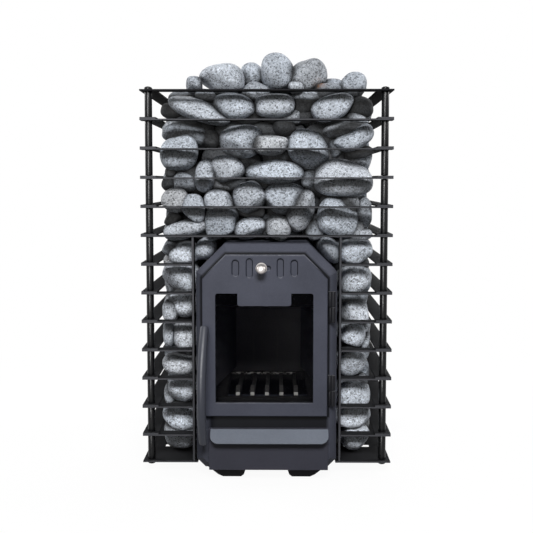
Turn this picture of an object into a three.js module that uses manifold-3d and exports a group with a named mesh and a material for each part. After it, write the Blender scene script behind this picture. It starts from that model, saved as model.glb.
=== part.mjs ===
// A wood-burning sauna heater: a welded firebox with a glazed door and an ash drawer, standing in a cage
// of flat steel bars that holds a pile of stones round it and above it.
// Millimetres, +Z up, the front faces -Y. The origin is on the floor under the middle of the heater.
import * as THREE from "three";
import { mergeVertices } from "three/addons/utils/BufferGeometryUtils.js";
import Module from "manifold-3d";

const wasm = await Module();
wasm.setup();

// Clearances
const seatGap = 0.3; // between pieces that touch, or rest on each other
const runGap = 1.5; // between pieces that slide past each other
const stoneGap = 0.5; // between one pile of stones and the next, or the bars

// Cage
const postSpacing = 440;
const barWidth = 30;
const barThickness = 3;
const sleeveLength = 48;
const sleeveRadius = 7;
const rodRadius = 4;
const levelCount = 12; // levels of lapped bars between the base plate and the top frame
const barHeadroom = 8; // bars lower than this above the firebox stop on both sides of its front
const cageLift = 23; // underside of the base plate above the floor
const nutRadius = 7.5;
const nutHeight = 6;
const nutWall = 2.5; // straight height of a nut under its dome
const uprightThickness = 4;
const uprightDepth = 30;
const uprightGap = 6; // from the firebox side to an upright
const draughtSlotWidth = 23;
const draughtSlotMargin = 14; // from a slot's end to the edge of the base plate's wing
const draughtSlotPitch = 80;
const draughtSlotsPerSide = 4;

// Firebox
const bodyChamfer = 52;
const bodyFootChamfer = 16;
const bodyWall = 4;
const bodyReach = 23; // how far the body stands out of the front of the cage
const bodyBack = 150; // its back behind the middle of the cage
const footHeight = 22;
const footWidth = 42; // on the floor
const footMargin = 65; // from the body's side to the middle of a foot
const footOuterSlope = 28; // how far its outer side leans out
const footInnerSlope = 7;
const footRound = 4;
const footInset = 10; // from the body's front and back
const frameBevel = 12;
const frameDepth = 14;
const frameSheet = 4;
const frameMargin = 14.5; // from the door's side to the body's side
const frameHead = 18.5; // from the door's upper edge to the body's top
const throatMargin = 20.5; // from the door's edges in to the throat
const throatChamfer = 36;
const shelfThickness = 5;
const shelfHeight = 93; // underside of the grate shelf above the body's floor
const grateWidth = 190;
const grateLength = 270;
const grateThickness = 15;
const grateBarWidth = 7.3;
const grateBarHeight = 31; // at its raised front end
const grateFinger = 30; // length of a bar's raised front end
const grateBarCount = 5;
const grateBarPitch = 28.2;
const grateRim = 14;
const grateFront = 195; // front edge of the grate in front of the middle of the cage
const baffleThickness = 6;
const baffleDrop = 65; // below the body's top
const baffleLength = 225;
const linerHeight = 150;
const linerThickness = 20;
const linerBackWidth = 144; // between the side liners at the back
const linerFrontThickness = 6;
const linerFront = 60; // from the body's front to the side liners
const flueRadius = 57.5;
const flueWall = 3;
const flueRise = 18; // its rim above the tops of the piles of stones
const flueFlangeRadius = 70;
const flueFlangeThickness = 3;
const flueBehind = 60; // axis behind the middle of the cage

// Door
const doorWidth = 231;
const doorHeight = 299;
const doorChamfer = 43.5;
const doorDepth = 11;
const doorSheet = 4;
const doorRim = 5;
const doorShift = -2.7; // middle of the door beside the middle of the cage
const doorLift = 101.5; // lower edge above the body's underside
const doorStandOff = 2; // filled by the gasket
const gasketMargin = 0.5;
const gasketWidth = 4.5;
const windowStile = 26.2; // from the window to the door's sides
const windowLift = 26; // above the door's lower edge
const windowHead = 71; // below the door's upper edge
const windowShift = -1; // beside the middle of the door
const windowRound = 4;
const tabWidth = 99;
const tabDrop = 23;
const tabRound = 5;
const glassThickness = 4;
const glassLap = 8;
const retainerLap = 2; // beyond the glass
const retainerThickness = 2;

// Air slider in the door
const airSlotPitch = 25.4;
const airSlotMiddle = 28.2; // from the door's middle to the inner slots
const airSlotDrop = 24.4; // below the door's upper edge
const innerSlotWidth = 10;
const innerSlotHeight = 34;
const outerSlotWidth = 11;
const outerSlotHeight = 29;
const sliderThickness = 2.5;
const sliderMargin = 4; // round its slots
const sliderCorner = 10;
const guideHeight = 4;
const knobRadius = 8.8;
const knobStemRadius = 3;
const knobStandOff = 22; // centre of the ball in front of the door
const knobCollarRadius = 10.4;
const knobCollarThickness = 2;
const knobShift = -6.3; // beside the middle of the door, with the slots shut

// Handle, hinges and catch
const handleRadius = 7;
const handleHeight = 214;
const handleLift = 170; // upper end above the door's lower edge
const handleEndStandOff = 18; // tube's centre at its ends in front of the door
const handleBow = 32;
const handleInset = 8; // its upper end from the door's edge
const handleLean = 3.4; // its lower end further out
const handleSideBow = 2.4;
const studRadius = 3.5;
const studSpacing = 120;
const hingeRadius = 4.6;
const hingePinRadius = 2;
const hingeOffset = 9.6; // axis beside the door's edge
const hingeSet = 6; // axis behind the door's front
const hingeLength = 58;
const hingeLeaf = 5;
const hingeHeights = { upper: 203, lower: 48 }; // centre of each hinge above the door's lower edge
const catchPinRadius = 2.5;
const catchPinReach = 10; // behind the front frame's face
const catchInset = 9.2; // from the door's edge
const catchLift = 150; // above the door's lower edge
const catchClearance = 2;
const clipWidth = 9;
const clipLeaf = 3;

// Ash drawer
const drawerMargin = 17; // from the pan to the front panel's side
const drawerHeight = 62;
const drawerLength = 340;
const drawerSheet = 2;
const drawerShift = 4; // middle of the drawer beside the middle of the cage
const drawerSideRelief = 5.5; // front panel inside the door's sides
const drawerFrontHeight = 78;
const drawerFrontDepth = 10;
const drawerFrontLift = 0.7; // above the body's underside
const lipRelief = 3; // lip narrower than the front panel
const lipLength = 29;
const lipThickness = 3;
const lipRound = 15;
const lipSlope = 52; // degrees down from level

// Stones
const frontPileThickness = 85;
const wallPress = 1.16; // a stone of the side and back walls is this much larger, to press into the next
const stonePress = 1.08; // a stone drawn from its list is this much larger, to press into the next
const hiddenPress = 0.35; // and one of the second row this much more
const stoneWander = 0.12; // share of its size by which a stone differs from the next
const faceStoneDepth = 54; // a stone behind the upper front bars, from front to back
const sideStoneDepth = 104; // a stone behind the lower front bars, beside the firebox
const stoneSetBack = 22; // stones of the second row behind those of the first
const shoulderCount = 4; // stones on each of the firebox's cut upper corners
const shoulderLap = 1.24;
const shoulderLength = 66;
const shoulderThickness = 44;
const shoulderIn = 8; // its middle inside the firebox's side
const shoulderDrop = 17; // and below the firebox's top
const pileDrop = 6; // tops of the piles below the top frame
const heapHeight = 86; // tallest stone above the piles
const middleLayers = 3;
const middleLap = 1.25;

// Derived places
const bodyWidth = doorWidth + 2 * frameMargin;
const bodyHeight = doorLift + doorHeight + frameHead;
const footSpacing = bodyWidth - 2 * footMargin;
const drawerFrontWidth = doorWidth - 2 * drawerSideRelief;
const drawerWidth = drawerFrontWidth - 2 * drawerMargin;
const lipWidth = drawerFrontWidth - lipRelief;
const windowWidth = doorWidth - 2 * windowStile;
const windowHeight = doorHeight - windowLift - windowHead;
const cageHalf = (postSpacing + barWidth) / 2;
const innerHalf = (postSpacing - barWidth) / 2;
const levelPitch = sleeveLength + 2 * barThickness;
const baseTop = cageLift + barThickness;
const levelHeight = (level) => baseTop + sleeveLength + (level - 1) * levelPitch;
const topFrameHeight = levelHeight(levelCount + 1);
const bodyHalf = bodyWidth / 2;
const bodyTop = footHeight + bodyHeight;
const bodyFloor = footHeight + bodyWall;
const bodyFront = -(cageHalf + bodyReach);
const frameBack = bodyFront - seatGap;
const frameFront = frameBack - frameDepth;
const doorBack = frameFront - doorStandOff;
const doorFront = doorBack - doorDepth;
const sheetBack = doorFront + doorSheet;
const doorBottom = footHeight + doorLift;
const doorTop = doorBottom + doorHeight;
const doorLeft = doorShift - doorWidth / 2;
const doorRight = doorShift + doorWidth / 2;
const cutLevelCount = Math.ceil((bodyTop + barHeadroom - levelHeight(1)) / levelPitch);
const uprightInner = bodyHalf + uprightGap;
const uprightOuter = uprightInner + uprightThickness;
const grateBottom = bodyFloor + shelfHeight + shelfThickness + seatGap;
const pileFace = innerHalf - stoneGap;
const pileTop = topFrameHeight - pileDrop;
const sliderTravel = airSlotPitch / 2;
const airSlotHeight = doorTop - airSlotDrop;

// Materials, with the finish of the real pieces
const finish = (color, roughness, metalness) =>
  new THREE.MeshStandardMaterial({ color, roughness, metalness });
const barSteel = finish(0x2c2d31, 0.55, 0.6);
const bodySteel = finish(0x38393e, 0.6, 0.5);
const doorSteel = finish(0x54565d, 0.5, 0.5);
const lipSteel = finish(0x6b737c, 0.45, 0.6);
const castIron = finish(0x3a3836, 0.8, 0.4);
const fireclay = finish(0x57514a, 0.95, 0);
const brightSteel = finish(0xc9c8c6, 0.15, 1);
const paneGlass = finish(0x0b0c0e, 0.05, 0);
const ropeSeal = finish(0x4a4742, 0.95, 0);
const granite = finish(0x8f9499, 0.9, 0);

// A closed geometry as a solid that can be joined and cut, and back again.
function toSolid(geometry) {
  const bare = geometry.clone().deleteAttribute("normal").deleteAttribute("uv");
  const merged = mergeVertices(bare, 1e-4);
  const vertProperties = merged.attributes.position.array;
  const triVerts = new Uint32Array(merged.index.array);
  return new wasm.Manifold(new wasm.Mesh({ numProp: 3, vertProperties, triVerts }));
}

function toGeometry(solid) {
  const { vertProperties, triVerts } = solid.getMesh();
  const geometry = new THREE.BufferGeometry();
  geometry.setAttribute("position", new THREE.BufferAttribute(vertProperties, 3));
  geometry.setIndex(new THREE.BufferAttribute(triVerts, 1));
  geometry.computeVertexNormals();
  return geometry;
}

const join = (...shapes) => toGeometry(shapes.map(toSolid).reduce((all, next) => all.add(next)));
const cut = (shape, ...tools) =>
  toGeometry(tools.map(toSolid).reduce((left, tool) => left.subtract(tool), toSolid(shape)));

// Basic shapes, given by their limits along X, Y and Z.
function block([x0, x1], [y0, y1], [z0, z1]) {
  const shape = new THREE.BoxGeometry(x1 - x0, y1 - y0, z1 - z0);
  return shape.translate((x0 + x1) / 2, (y0 + y1) / 2, (z0 + z1) / 2);
}

// An outline in X and Z, carried along Y.
function alongY(outline, [y0, y1], curveSegments = 4) {
  const shape = new THREE.ExtrudeGeometry(outline, { depth: y1 - y0, bevelEnabled: false, curveSegments });
  return shape.rotateX(Math.PI / 2).translate(0, y1, 0);
}

function roundBar(radius, [from, to], axis, sides) {
  const shape = new THREE.CylinderGeometry(radius, radius, to - from, sides);
  if (axis === "z") return shape.rotateX(Math.PI / 2).translate(0, 0, (from + to) / 2);
  return shape.translate(0, (from + to) / 2, 0);
}

function turned(profile, sides) {
  const points = profile.map(([radius, height]) => new THREE.Vector2(radius, height));
  return new THREE.LatheGeometry(points, sides).rotateX(Math.PI / 2);
}

// A rectangle whose two upper corners are cut off, and its lower ones too where asked, as corner points.
function chamferedCorners(x0, x1, z0, z1, upper, lower = 0) {
  const feet = [[x0, z0 + lower], [x0 + lower, z0], [x1 - lower, z0], [x1, z0 + lower]];
  const shoulders = [[x1, z1 - upper], [x1 - upper, z1], [x0 + upper, z1], [x0, z1 - upper]];
  return lower ? [...feet, ...shoulders] : [feet[0], feet[3], ...shoulders];
}
const outlineOf = (corners) => new THREE.Shape(corners.map(([x, z]) => new THREE.Vector2(x, z)));

// The cut corner that keeps a wall of even thickness when its outline shrinks by inset.
const insetChamfer = (chamfer, inset) => Math.max(chamfer / 10, chamfer - inset * (2 - Math.SQRT2));

function bodyCorners(inset) {
  const upper = insetChamfer(bodyChamfer, inset);
  const lower = insetChamfer(bodyFootChamfer, inset);
  const half = bodyHalf - inset;
  return chamferedCorners(-half, half, footHeight + inset, bodyTop - inset, upper, lower);
}

function doorCorners(inset) {
  const chamfer = insetChamfer(doorChamfer, inset);
  return chamferedCorners(doorLeft + inset, doorRight - inset, doorBottom + inset, doorTop - inset, chamfer);
}

// A slot with round ends, upright or level, whichever is the longer side.
function roundEnded(x, z, width, height, Path = THREE.Path) {
  const path = new Path();
  const radius = Math.min(width, height) / 2;
  const dx = width / 2 - radius;
  const dz = height / 2 - radius;
  const start = height > width ? 0 : -Math.PI / 2;
  path.absarc(x + dx, z + dz, radius, start, start + Math.PI);
  path.absarc(x - dx, z - dz, radius, start + Math.PI, start + 2 * Math.PI);
  return path;
}

// The solid between two outlines with the same number of corners, one in front of the other.
function loft(frontCorners, frontY, backCorners, backY) {
  const count = frontCorners.length;
  const points = [
    ...frontCorners.map(([x, z]) => [x, frontY, z]),
    ...backCorners.map(([x, z]) => [x, backY, z]),
  ];
  const faces = [];
  for (let i = 0; i < count; i++) {
    const next = (i + 1) % count;
    faces.push(i, count + i, count + next, i, count + next, next);
    if (i > 0 && i < count - 1) faces.push(0, i, i + 1, count, count + i + 1, count + i);
  }
  const geometry = new THREE.BufferGeometry();
  geometry.setAttribute("position", new THREE.Float32BufferAttribute(points.flat(), 3));
  geometry.setIndex(faces);
  return geometry;
}

function piece(group, name, geometry, material) {
  const mesh = new THREE.Mesh(geometry, material);
  mesh.name = name;
  group.add(mesh);
  return mesh;
}

const heater = new THREE.Group();
const cage = new THREE.Group();
const firebox = new THREE.Group();
const door = new THREE.Group();
const airSlider = new THREE.Group();
const ashDrawer = new THREE.Group();
const stones = new THREE.Group();
door.add(airSlider);
heater.add(cage, firebox, door, ashDrawer, stones);

// Cage: bars, base plate and top frame, threaded on four tie rods
const corners = [
  ["front_left", -1, -1],
  ["front_right", 1, -1],
  ["back_left", -1, 1],
  ["back_right", 1, 1],
];
const rodHoles = (z0, z1) =>
  corners.map(([, sx, sy]) =>
    roundBar(rodRadius + seatGap, [z0 - 1, z1 + 1], "z", 8).translate(
      (sx * postSpacing) / 2,
      (sy * postSpacing) / 2,
      0,
    ),
  );

function barLevel(level) {
  const low = [levelHeight(level), levelHeight(level) + barThickness];
  const high = [low[1], low[1] + barThickness];
  const outer = [-cageHalf, cageHalf];
  const stub = [uprightOuter + seatGap, cageHalf];
  const frontRow = [-cageHalf, -innerHalf];
  const front =
    level > cutLevelCount
      ? [block(outer, frontRow, low)]
      : [block(stub, frontRow, low), block([-stub[1], -stub[0]], frontRow, low)];
  const back = block(outer, [innerHalf, cageHalf], low);
  const left = block([-cageHalf, -innerHalf], outer, high);
  const right = block([innerHalf, cageHalf], outer, high);
  return cut(join(back, left, right, ...front), ...rodHoles(low[0], high[1]));
}

function basePlate() {
  const height = [cageLift, baseTop];
  const through = [cageLift - 1, baseTop + 1];
  const plate = block([-cageHalf, cageHalf], [-cageHalf, cageHalf], height);
  const bodyHole = block(
    [-bodyHalf - seatGap, bodyHalf + seatGap],
    [-cageHalf - 1, bodyBack + seatGap],
    through,
  );
  const slots = [];
  const slotSpan = [uprightOuter + draughtSlotMargin, innerHalf];
  for (let i = 0; i < draughtSlotsPerSide; i++) {
    const y = (i - (draughtSlotsPerSide - 1) / 2) * draughtSlotPitch;
    const depth = [y - draughtSlotWidth / 2, y + draughtSlotWidth / 2];
    slots.push(block(slotSpan, depth, through), block([-slotSpan[1], -slotSpan[0]], depth, through));
  }
  return cut(plate, bodyHole, ...slots, ...rodHoles(...height));
}

function topFrame() {
  const height = [topFrameHeight, topFrameHeight + barThickness];
  const plate = block([-cageHalf, cageHalf], [-cageHalf, cageHalf], height);
  const middle = block([-innerHalf, innerHalf], [-innerHalf, innerHalf], [height[0] - 1, height[1] + 1]);
  return cut(plate, middle, ...rodHoles(...height));
}

// A tie rod with a spacer sleeve between each two levels and a domed nut on each end.
function cornerPost() {
  const bottom = cageLift - seatGap;
  const top = topFrameHeight + barThickness + seatGap;
  const profile = [
    [0, bottom - nutHeight],
    [nutRadius * 0.6, bottom - nutHeight * 0.9],
    [nutRadius, bottom - nutWall],
    [nutRadius, bottom],
    [rodRadius, bottom],
  ];
  for (let level = 1; level <= levelCount + 1; level++) {
    const sleeveTop = levelHeight(level) - seatGap;
    const sleeveBottom = levelHeight(level) - sleeveLength + seatGap;
    profile.push(
      [rodRadius, sleeveBottom],
      [sleeveRadius, sleeveBottom],
      [sleeveRadius, sleeveTop],
      [rodRadius, sleeveTop],
    );
  }
  profile.push(
    [rodRadius, top],
    [nutRadius, top],
    [nutRadius, top + nutWall],
    [nutRadius * 0.6, top + nutHeight * 0.9],
    [0, top + nutHeight],
  );
  return turned(profile, 8);
}

piece(cage, "base_plate", basePlate(), barSteel);
for (let level = 1; level <= levelCount; level++) {
  piece(cage, `bar_level_${String(level).padStart(2, "0")}`, barLevel(level), barSteel);
}
piece(cage, "top_frame", topFrame(), barSteel);
for (const [name, sx, sy] of corners) {
  const post = piece(cage, `corner_post_${name}`, cornerPost(), barSteel);
  post.position.set((sx * postSpacing) / 2, (sy * postSpacing) / 2, 0);
}
const uprightSpan = [baseTop + seatGap, levelHeight(cutLevelCount + 1) - seatGap];
const uprightRow = [-cageHalf, -cageHalf + uprightDepth];
piece(cage, "upright_left", block([-uprightOuter, -uprightInner], uprightRow, uprightSpan), barSteel);
piece(cage, "upright_right", block([uprightInner, uprightOuter], uprightRow, uprightSpan), barSteel);

// Firebox: body, back, grate, baffle, flue collar and foot rails
function fireboxBody() {
  const outline = outlineOf(bodyCorners(0));
  outline.holes.push(outlineOf(bodyCorners(bodyWall)));
  const shell = alongY(outline, [bodyFront, bodyBack]);
  const flueHole = roundBar(flueRadius - flueWall, [bodyTop - 2 * bodyWall, bodyTop + 1], "z", 20);
  return cut(shell, flueHole.translate(0, flueBehind, 0));
}

const insideHalf = bodyHalf - bodyWall - seatGap;
const backPlateFront = bodyBack - bodyWall - seatGap;

function grateShelf() {
  const height = [bodyFloor + shelfHeight, bodyFloor + shelfHeight + shelfThickness];
  const plate = block([-insideHalf, insideHalf], [bodyFront, backPlateFront - seatGap], height);
  const hole = block(
    [-grateWidth / 2 + grateRim, grateWidth / 2 - grateRim],
    [-grateFront + grateRim, -grateFront + grateLength - grateRim],
    [height[0] - 1, height[1] + 1],
  );
  return cut(plate, hole);
}

// The grate: a flat rim, and bars in it whose front ends stand up and keep the logs off the door.
function fireGrate() {
  const rimHeight = [grateBottom, grateBottom + grateThickness];
  const depth = [-grateFront, -grateFront + grateLength];
  const openHalf = grateWidth / 2 - grateRim;
  const openDepth = [depth[0] + grateRim, depth[1] - grateRim];
  const plate = block([-grateWidth / 2, grateWidth / 2], depth, rimHeight);
  const rim = cut(plate, block([-openHalf, openHalf], openDepth, [rimHeight[0] - 1, rimHeight[1] + 1]));
  const bars = [];
  for (let i = 0; i < grateBarCount; i++) {
    const x = (i - (grateBarCount - 1) / 2) * grateBarPitch;
    const width = [x - grateBarWidth / 2, x + grateBarWidth / 2];
    const row = [openDepth[0] - 1, openDepth[1] + 1];
    const fingerRow = [row[0], row[0] + grateFinger];
    const finger = block(width, fingerRow, [grateBottom, grateBottom + grateBarHeight]);
    bars.push(block(width, row, rimHeight), finger);
  }
  return join(rim, ...bars);
}

// Fireclay liners: a back slab, and side slabs that grow thicker towards it.
function backLiner() {
  const front = backPlateFront - seatGap - linerThickness;
  const height = [grateBottom, grateBottom + linerHeight];
  return block([-insideHalf, insideHalf], [front, front + linerThickness], height);
}

function sideLiner(side) {
  const back = backPlateFront - 2 * seatGap - linerThickness;
  const front = bodyFront + linerFront;
  const outline = new THREE.Shape(
    [
      [insideHalf, front],
      [insideHalf, back],
      [linerBackWidth / 2, back],
      [insideHalf - linerFrontThickness, front],
    ].map(([x, y]) => new THREE.Vector2(side * x, y)),
  );
  const bottom = grateBottom + grateThickness + seatGap;
  const depth = linerHeight - grateThickness;
  return new THREE.ExtrudeGeometry(outline, { depth, bevelEnabled: false }).translate(0, 0, bottom);
}

function frontFrame() {
  const outer = loft(bodyCorners(frameBevel), frameFront, bodyCorners(0), frameBack);
  const hollow = loft(
    bodyCorners(frameBevel + frameSheet),
    frameFront + frameSheet,
    bodyCorners(frameSheet),
    frameBack + 1,
  );
  const throatCorners = chamferedCorners(
    doorLeft + throatMargin,
    doorRight - throatMargin,
    doorBottom + throatMargin,
    doorTop - throatMargin,
    throatChamfer,
  );
  const through = [frameFront - 1, frameBack + 1];
  const throat = alongY(outlineOf(throatCorners), through);
  const drawerMouth = block(
    [drawerShift - drawerWidth / 2 - runGap, drawerShift + drawerWidth / 2 + runGap],
    through,
    [bodyFloor - seatGap, bodyFloor + drawerHeight + 2 * runGap],
  );
  const catchHole = roundBar(catchPinRadius + catchClearance, through, "y", 8);
  catchHole.translate(doorLeft + catchInset, 0, doorBottom + catchLift);
  return cut(outer, hollow, throat, drawerMouth, catchHole);
}

function flueCollar() {
  const bottom = bodyTop + seatGap;
  const bore = flueRadius - flueWall;
  const ring = [
    [bore, bottom],
    [flueFlangeRadius, bottom],
    [flueFlangeRadius, bottom + flueFlangeThickness],
    [flueRadius, bottom + flueFlangeThickness],
    [flueRadius, pileTop + flueRise],
    [bore, pileTop + flueRise],
    [bore, bottom],
  ];
  return turned(ring, 20);
}

// A foot rail: its outer side goes on down the slope of the body's lower corner.
function footRail(side) {
  const inner = footSpacing / 2 - footWidth / 2;
  const outer = footSpacing / 2 + footWidth / 2;
  const high = footHeight - seatGap;
  const outline = outlineOf(
    [
      [inner + footRound, 0],
      [outer - footRound, 0],
      [outer + (footOuterSlope * footRound) / footHeight, footRound],
      [outer + footOuterSlope, high],
      [inner - footInnerSlope, high],
      [inner - (footInnerSlope * footRound) / footHeight, footRound],
    ].map(([x, z]) => [side * x, z]),
  );
  return alongY(outline, [bodyFront + footInset, bodyBack - footInset]);
}

// The frame's half of the door catch: two spring leaves, joined behind the pin that goes between them.
function catchClip() {
  const x = doorLeft + catchInset;
  const z = doorBottom + catchLift;
  const halfGap = catchPinRadius + seatGap;
  const clipFront = frameFront + frameSheet + seatGap;
  const clipBack = frameFront + catchPinReach + clipLeaf + catchClearance;
  const width = [x - clipWidth / 2, x + clipWidth / 2];
  const whole = block(width, [clipFront, clipBack], [z - halfGap - clipLeaf, z + halfGap + clipLeaf]);
  const mouth = block(
    [width[0] - 1, width[1] + 1],
    [clipFront - 1, clipBack - clipLeaf],
    [z - halfGap, z + halfGap],
  );
  return cut(whole, mouth);
}

const baffleHeight = [bodyTop - baffleDrop - baffleThickness, bodyTop - baffleDrop];
const baffleRow = [backPlateFront - seatGap - baffleLength, backPlateFront - seatGap];
const backOutline = outlineOf(bodyCorners(bodyWall + seatGap));
piece(firebox, "firebox_body", fireboxBody(), bodySteel);
piece(firebox, "firebox_back", alongY(backOutline, [backPlateFront, bodyBack - seatGap]), bodySteel);
piece(firebox, "front_frame", frontFrame(), bodySteel);
piece(firebox, "grate_shelf", grateShelf(), bodySteel);
piece(firebox, "fire_grate", fireGrate(), castIron);
piece(firebox, "liner_back", backLiner(), fireclay);
piece(firebox, "liner_left", sideLiner(-1), fireclay);
piece(firebox, "liner_right", sideLiner(1), fireclay);
piece(firebox, "baffle_plate", block([-insideHalf, insideHalf], baffleRow, baffleHeight), bodySteel);
piece(firebox, "flue_collar", flueCollar(), bodySteel).position.y = flueBehind;
piece(firebox, "foot_rail_left", footRail(-1), bodySteel);
piece(firebox, "foot_rail_right", footRail(1), bodySteel);
piece(firebox, "catch_clip", catchClip(), brightSteel);

// Door: a folded sheet with a window, air slots and a rim, hinged on its right
const windowMiddle = doorShift + windowShift;
const windowBottom = doorBottom + windowLift;
const windowTop = windowBottom + windowHeight;
const airSlots = [
  [-airSlotMiddle - airSlotPitch, outerSlotWidth, outerSlotHeight],
  [-airSlotMiddle, innerSlotWidth, innerSlotHeight],
  [airSlotMiddle, innerSlotWidth, innerSlotHeight],
  [airSlotMiddle + airSlotPitch, outerSlotWidth, outerSlotHeight],
];
const knobX = doorShift + knobShift;

// The window's edge, with the plain tab that hangs from the middle of its upper side.
function windowOutline() {
  const left = windowMiddle - windowWidth / 2;
  const right = windowMiddle + windowWidth / 2;
  const tabLeft = windowMiddle - tabWidth / 2;
  const tabRight = windowMiddle + tabWidth / 2;
  const tabBottom = windowTop - tabDrop;
  const path = new THREE.Path();
  path.moveTo(left, windowBottom);
  path.lineTo(right, windowBottom);
  path.absarc(right - windowRound, windowTop - windowRound, windowRound, 0, Math.PI / 2);
  path.lineTo(tabRight, windowTop);
  path.absarc(tabRight - tabRound, tabBottom + tabRound, tabRound, 0, -Math.PI / 2, true);
  path.absarc(tabLeft + tabRound, tabBottom + tabRound, tabRound, -Math.PI / 2, -Math.PI, true);
  path.lineTo(tabLeft, windowTop);
  path.absarc(left + windowRound, windowTop - windowRound, windowRound, Math.PI / 2, Math.PI);
  path.closePath();
  return path;
}

function doorPanel() {
  const sheet = outlineOf(doorCorners(0));
  sheet.holes.push(windowOutline());
  for (const [x, width, height] of airSlots) {
    sheet.holes.push(roundEnded(doorShift + x, airSlotHeight, width, height));
  }
  const knobSlotHeight = 2 * (knobStemRadius + seatGap);
  sheet.holes.push(
    roundEnded(knobX + sliderTravel / 2, airSlotHeight, sliderTravel + knobSlotHeight, knobSlotHeight),
  );
  const rim = outlineOf(doorCorners(0));
  rim.holes.push(outlineOf(doorCorners(doorRim)));
  return join(alongY(sheet, [doorFront, sheetBack]), alongY(rim, [sheetBack, doorBack]));
}

function doorGasket() {
  const ring = outlineOf(doorCorners(gasketMargin));
  ring.holes.push(outlineOf(doorCorners(gasketMargin + gasketWidth)));
  return alongY(ring, [doorBack + seatGap, frameFront - seatGap]);
}

const glassFront = sheetBack + seatGap;
const glassBack = glassFront + glassThickness;
const aroundWindow = (lap) => [
  [windowMiddle - windowWidth / 2 - lap, windowMiddle + windowWidth / 2 + lap],
  [windowBottom - lap, windowTop + lap],
];

function glassRetainer() {
  const [outerX, outerZ] = aroundWindow(glassLap + retainerLap);
  const [innerX, innerZ] = aroundWindow(0);
  const front = glassBack + seatGap;
  const plate = block(outerX, [front, front + retainerThickness], outerZ);
  return cut(plate, block(innerX, [front - 1, front + retainerThickness + 1], innerZ));
}

// A bowed tube on two studs that are screwed to the left edge of the door.
function doorHandle() {
  const upperX = doorLeft + handleInset;
  const lowerX = upperX - handleLean;
  const top = doorBottom + handleLift;
  const bottom = top - handleHeight;
  const endY = doorFront - handleEndStandOff;
  const middle = (top + bottom) / 2;
  const bowed = new THREE.QuadraticBezierCurve3(
    new THREE.Vector3(upperX, endY, top),
    new THREE.Vector3((upperX + lowerX) / 2 - 2 * handleSideBow, endY - 2 * handleBow, middle),
    new THREE.Vector3(lowerX, endY, bottom),
  );
  const section = new THREE.Shape().absarc(0, 0, handleRadius, 0, 2 * Math.PI);
  const tube = new THREE.ExtrudeGeometry(section, { extrudePath: bowed, steps: 14, curveSegments: 5 });
  const lowerStud = doorBottom + (top - doorBottom - studSpacing) / 2;
  const studs = [lowerStud, lowerStud + studSpacing].map((z) => {
    const share = (top - z) / handleHeight;
    const tube = bowed.getPoint(share);
    return roundBar(studRadius, [tube.y, doorFront - seatGap], "y", 8).translate(tube.x, 0, z);
  });
  return join(tube, ...studs);
}

const hingeX = doorRight + hingeOffset;
const hingeY = doorFront + hingeSet;

// The lower knuckle of a hinge: welded to the front frame, with the pin standing up from it.
function frameKnuckle(z) {
  const span = [z - hingeLength / 2, z - seatGap / 2];
  const barrel = roundBar(hingeRadius, span, "z", 10);
  const pin = roundBar(hingePinRadius, [span[1] - 1, z + hingeLength / 2 - hingePinRadius], "z", 8);
  const leaf = block([-hingeOffset + runGap, 0], [0, frameFront - seatGap - hingeY], span);
  return join(barrel, pin, leaf).translate(hingeX, hingeY, 0);
}

// The upper knuckle: a bushed barrel on a lug at the door's edge, which lifts off the pin.
function doorKnuckle(z) {
  const span = [z + seatGap / 2, z + hingeLength / 2];
  const barrel = roundBar(hingeRadius, span, "z", 10);
  const lug = block([-hingeOffset + seatGap, 0], [-hingeLeaf / 2, hingeLeaf / 2], span);
  const bore = roundBar(hingePinRadius + seatGap, [span[0] - 1, span[1] - hingePinRadius + seatGap], "z", 8);
  return cut(join(barrel, lug), bore).translate(hingeX, hingeY, 0);
}

function catchPin() {
  const span = [sheetBack + seatGap, frameFront + catchPinReach];
  return roundBar(catchPinRadius, span, "y", 8).translate(doorLeft + catchInset, 0, doorBottom + catchLift);
}

piece(door, "door_panel", doorPanel(), doorSteel);
piece(door, "door_gasket", doorGasket(), ropeSeal);
const [glassX, glassZ] = aroundWindow(glassLap);
piece(door, "door_glass", block(glassX, [glassFront, glassBack], glassZ), paneGlass);
piece(door, "glass_retainer", glassRetainer(), bodySteel);
piece(door, "door_handle", doorHandle(), bodySteel);
piece(door, "catch_pin", catchPin(), brightSteel);
for (const [name, lift] of Object.entries(hingeHeights)) {
  piece(firebox, `hinge_frame_${name}`, frameKnuckle(doorBottom + lift), bodySteel);
  piece(door, `hinge_door_${name}`, doorKnuckle(doorBottom + lift), bodySteel);
}

// Air slider: a slotted plate behind the door's slots, moved by the ball knob
const sliderRow = [sheetBack + seatGap, sheetBack + seatGap + sliderThickness];
const sliderReach = airSlotMiddle + airSlotPitch + outerSlotWidth / 2 + sliderMargin;
const sliderSpan = [doorShift - sliderReach - sliderTravel, doorShift + sliderReach];
const sliderHalfHeight = innerSlotHeight / 2 + sliderMargin / 2;

function sliderPlate() {
  const low = airSlotHeight - sliderHalfHeight;
  const high = airSlotHeight + sliderHalfHeight;
  const outline = outlineOf(chamferedCorners(...sliderSpan, low, high, sliderCorner));
  for (const [x, width, height] of airSlots) {
    outline.holes.push(roundEnded(doorShift - sliderTravel + x, airSlotHeight, width, height));
  }
  outline.holes.push(new THREE.Path().absarc(knobX, airSlotHeight, knobStemRadius + seatGap, 0, 2 * Math.PI));
  return alongY(outline, sliderRow);
}

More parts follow.
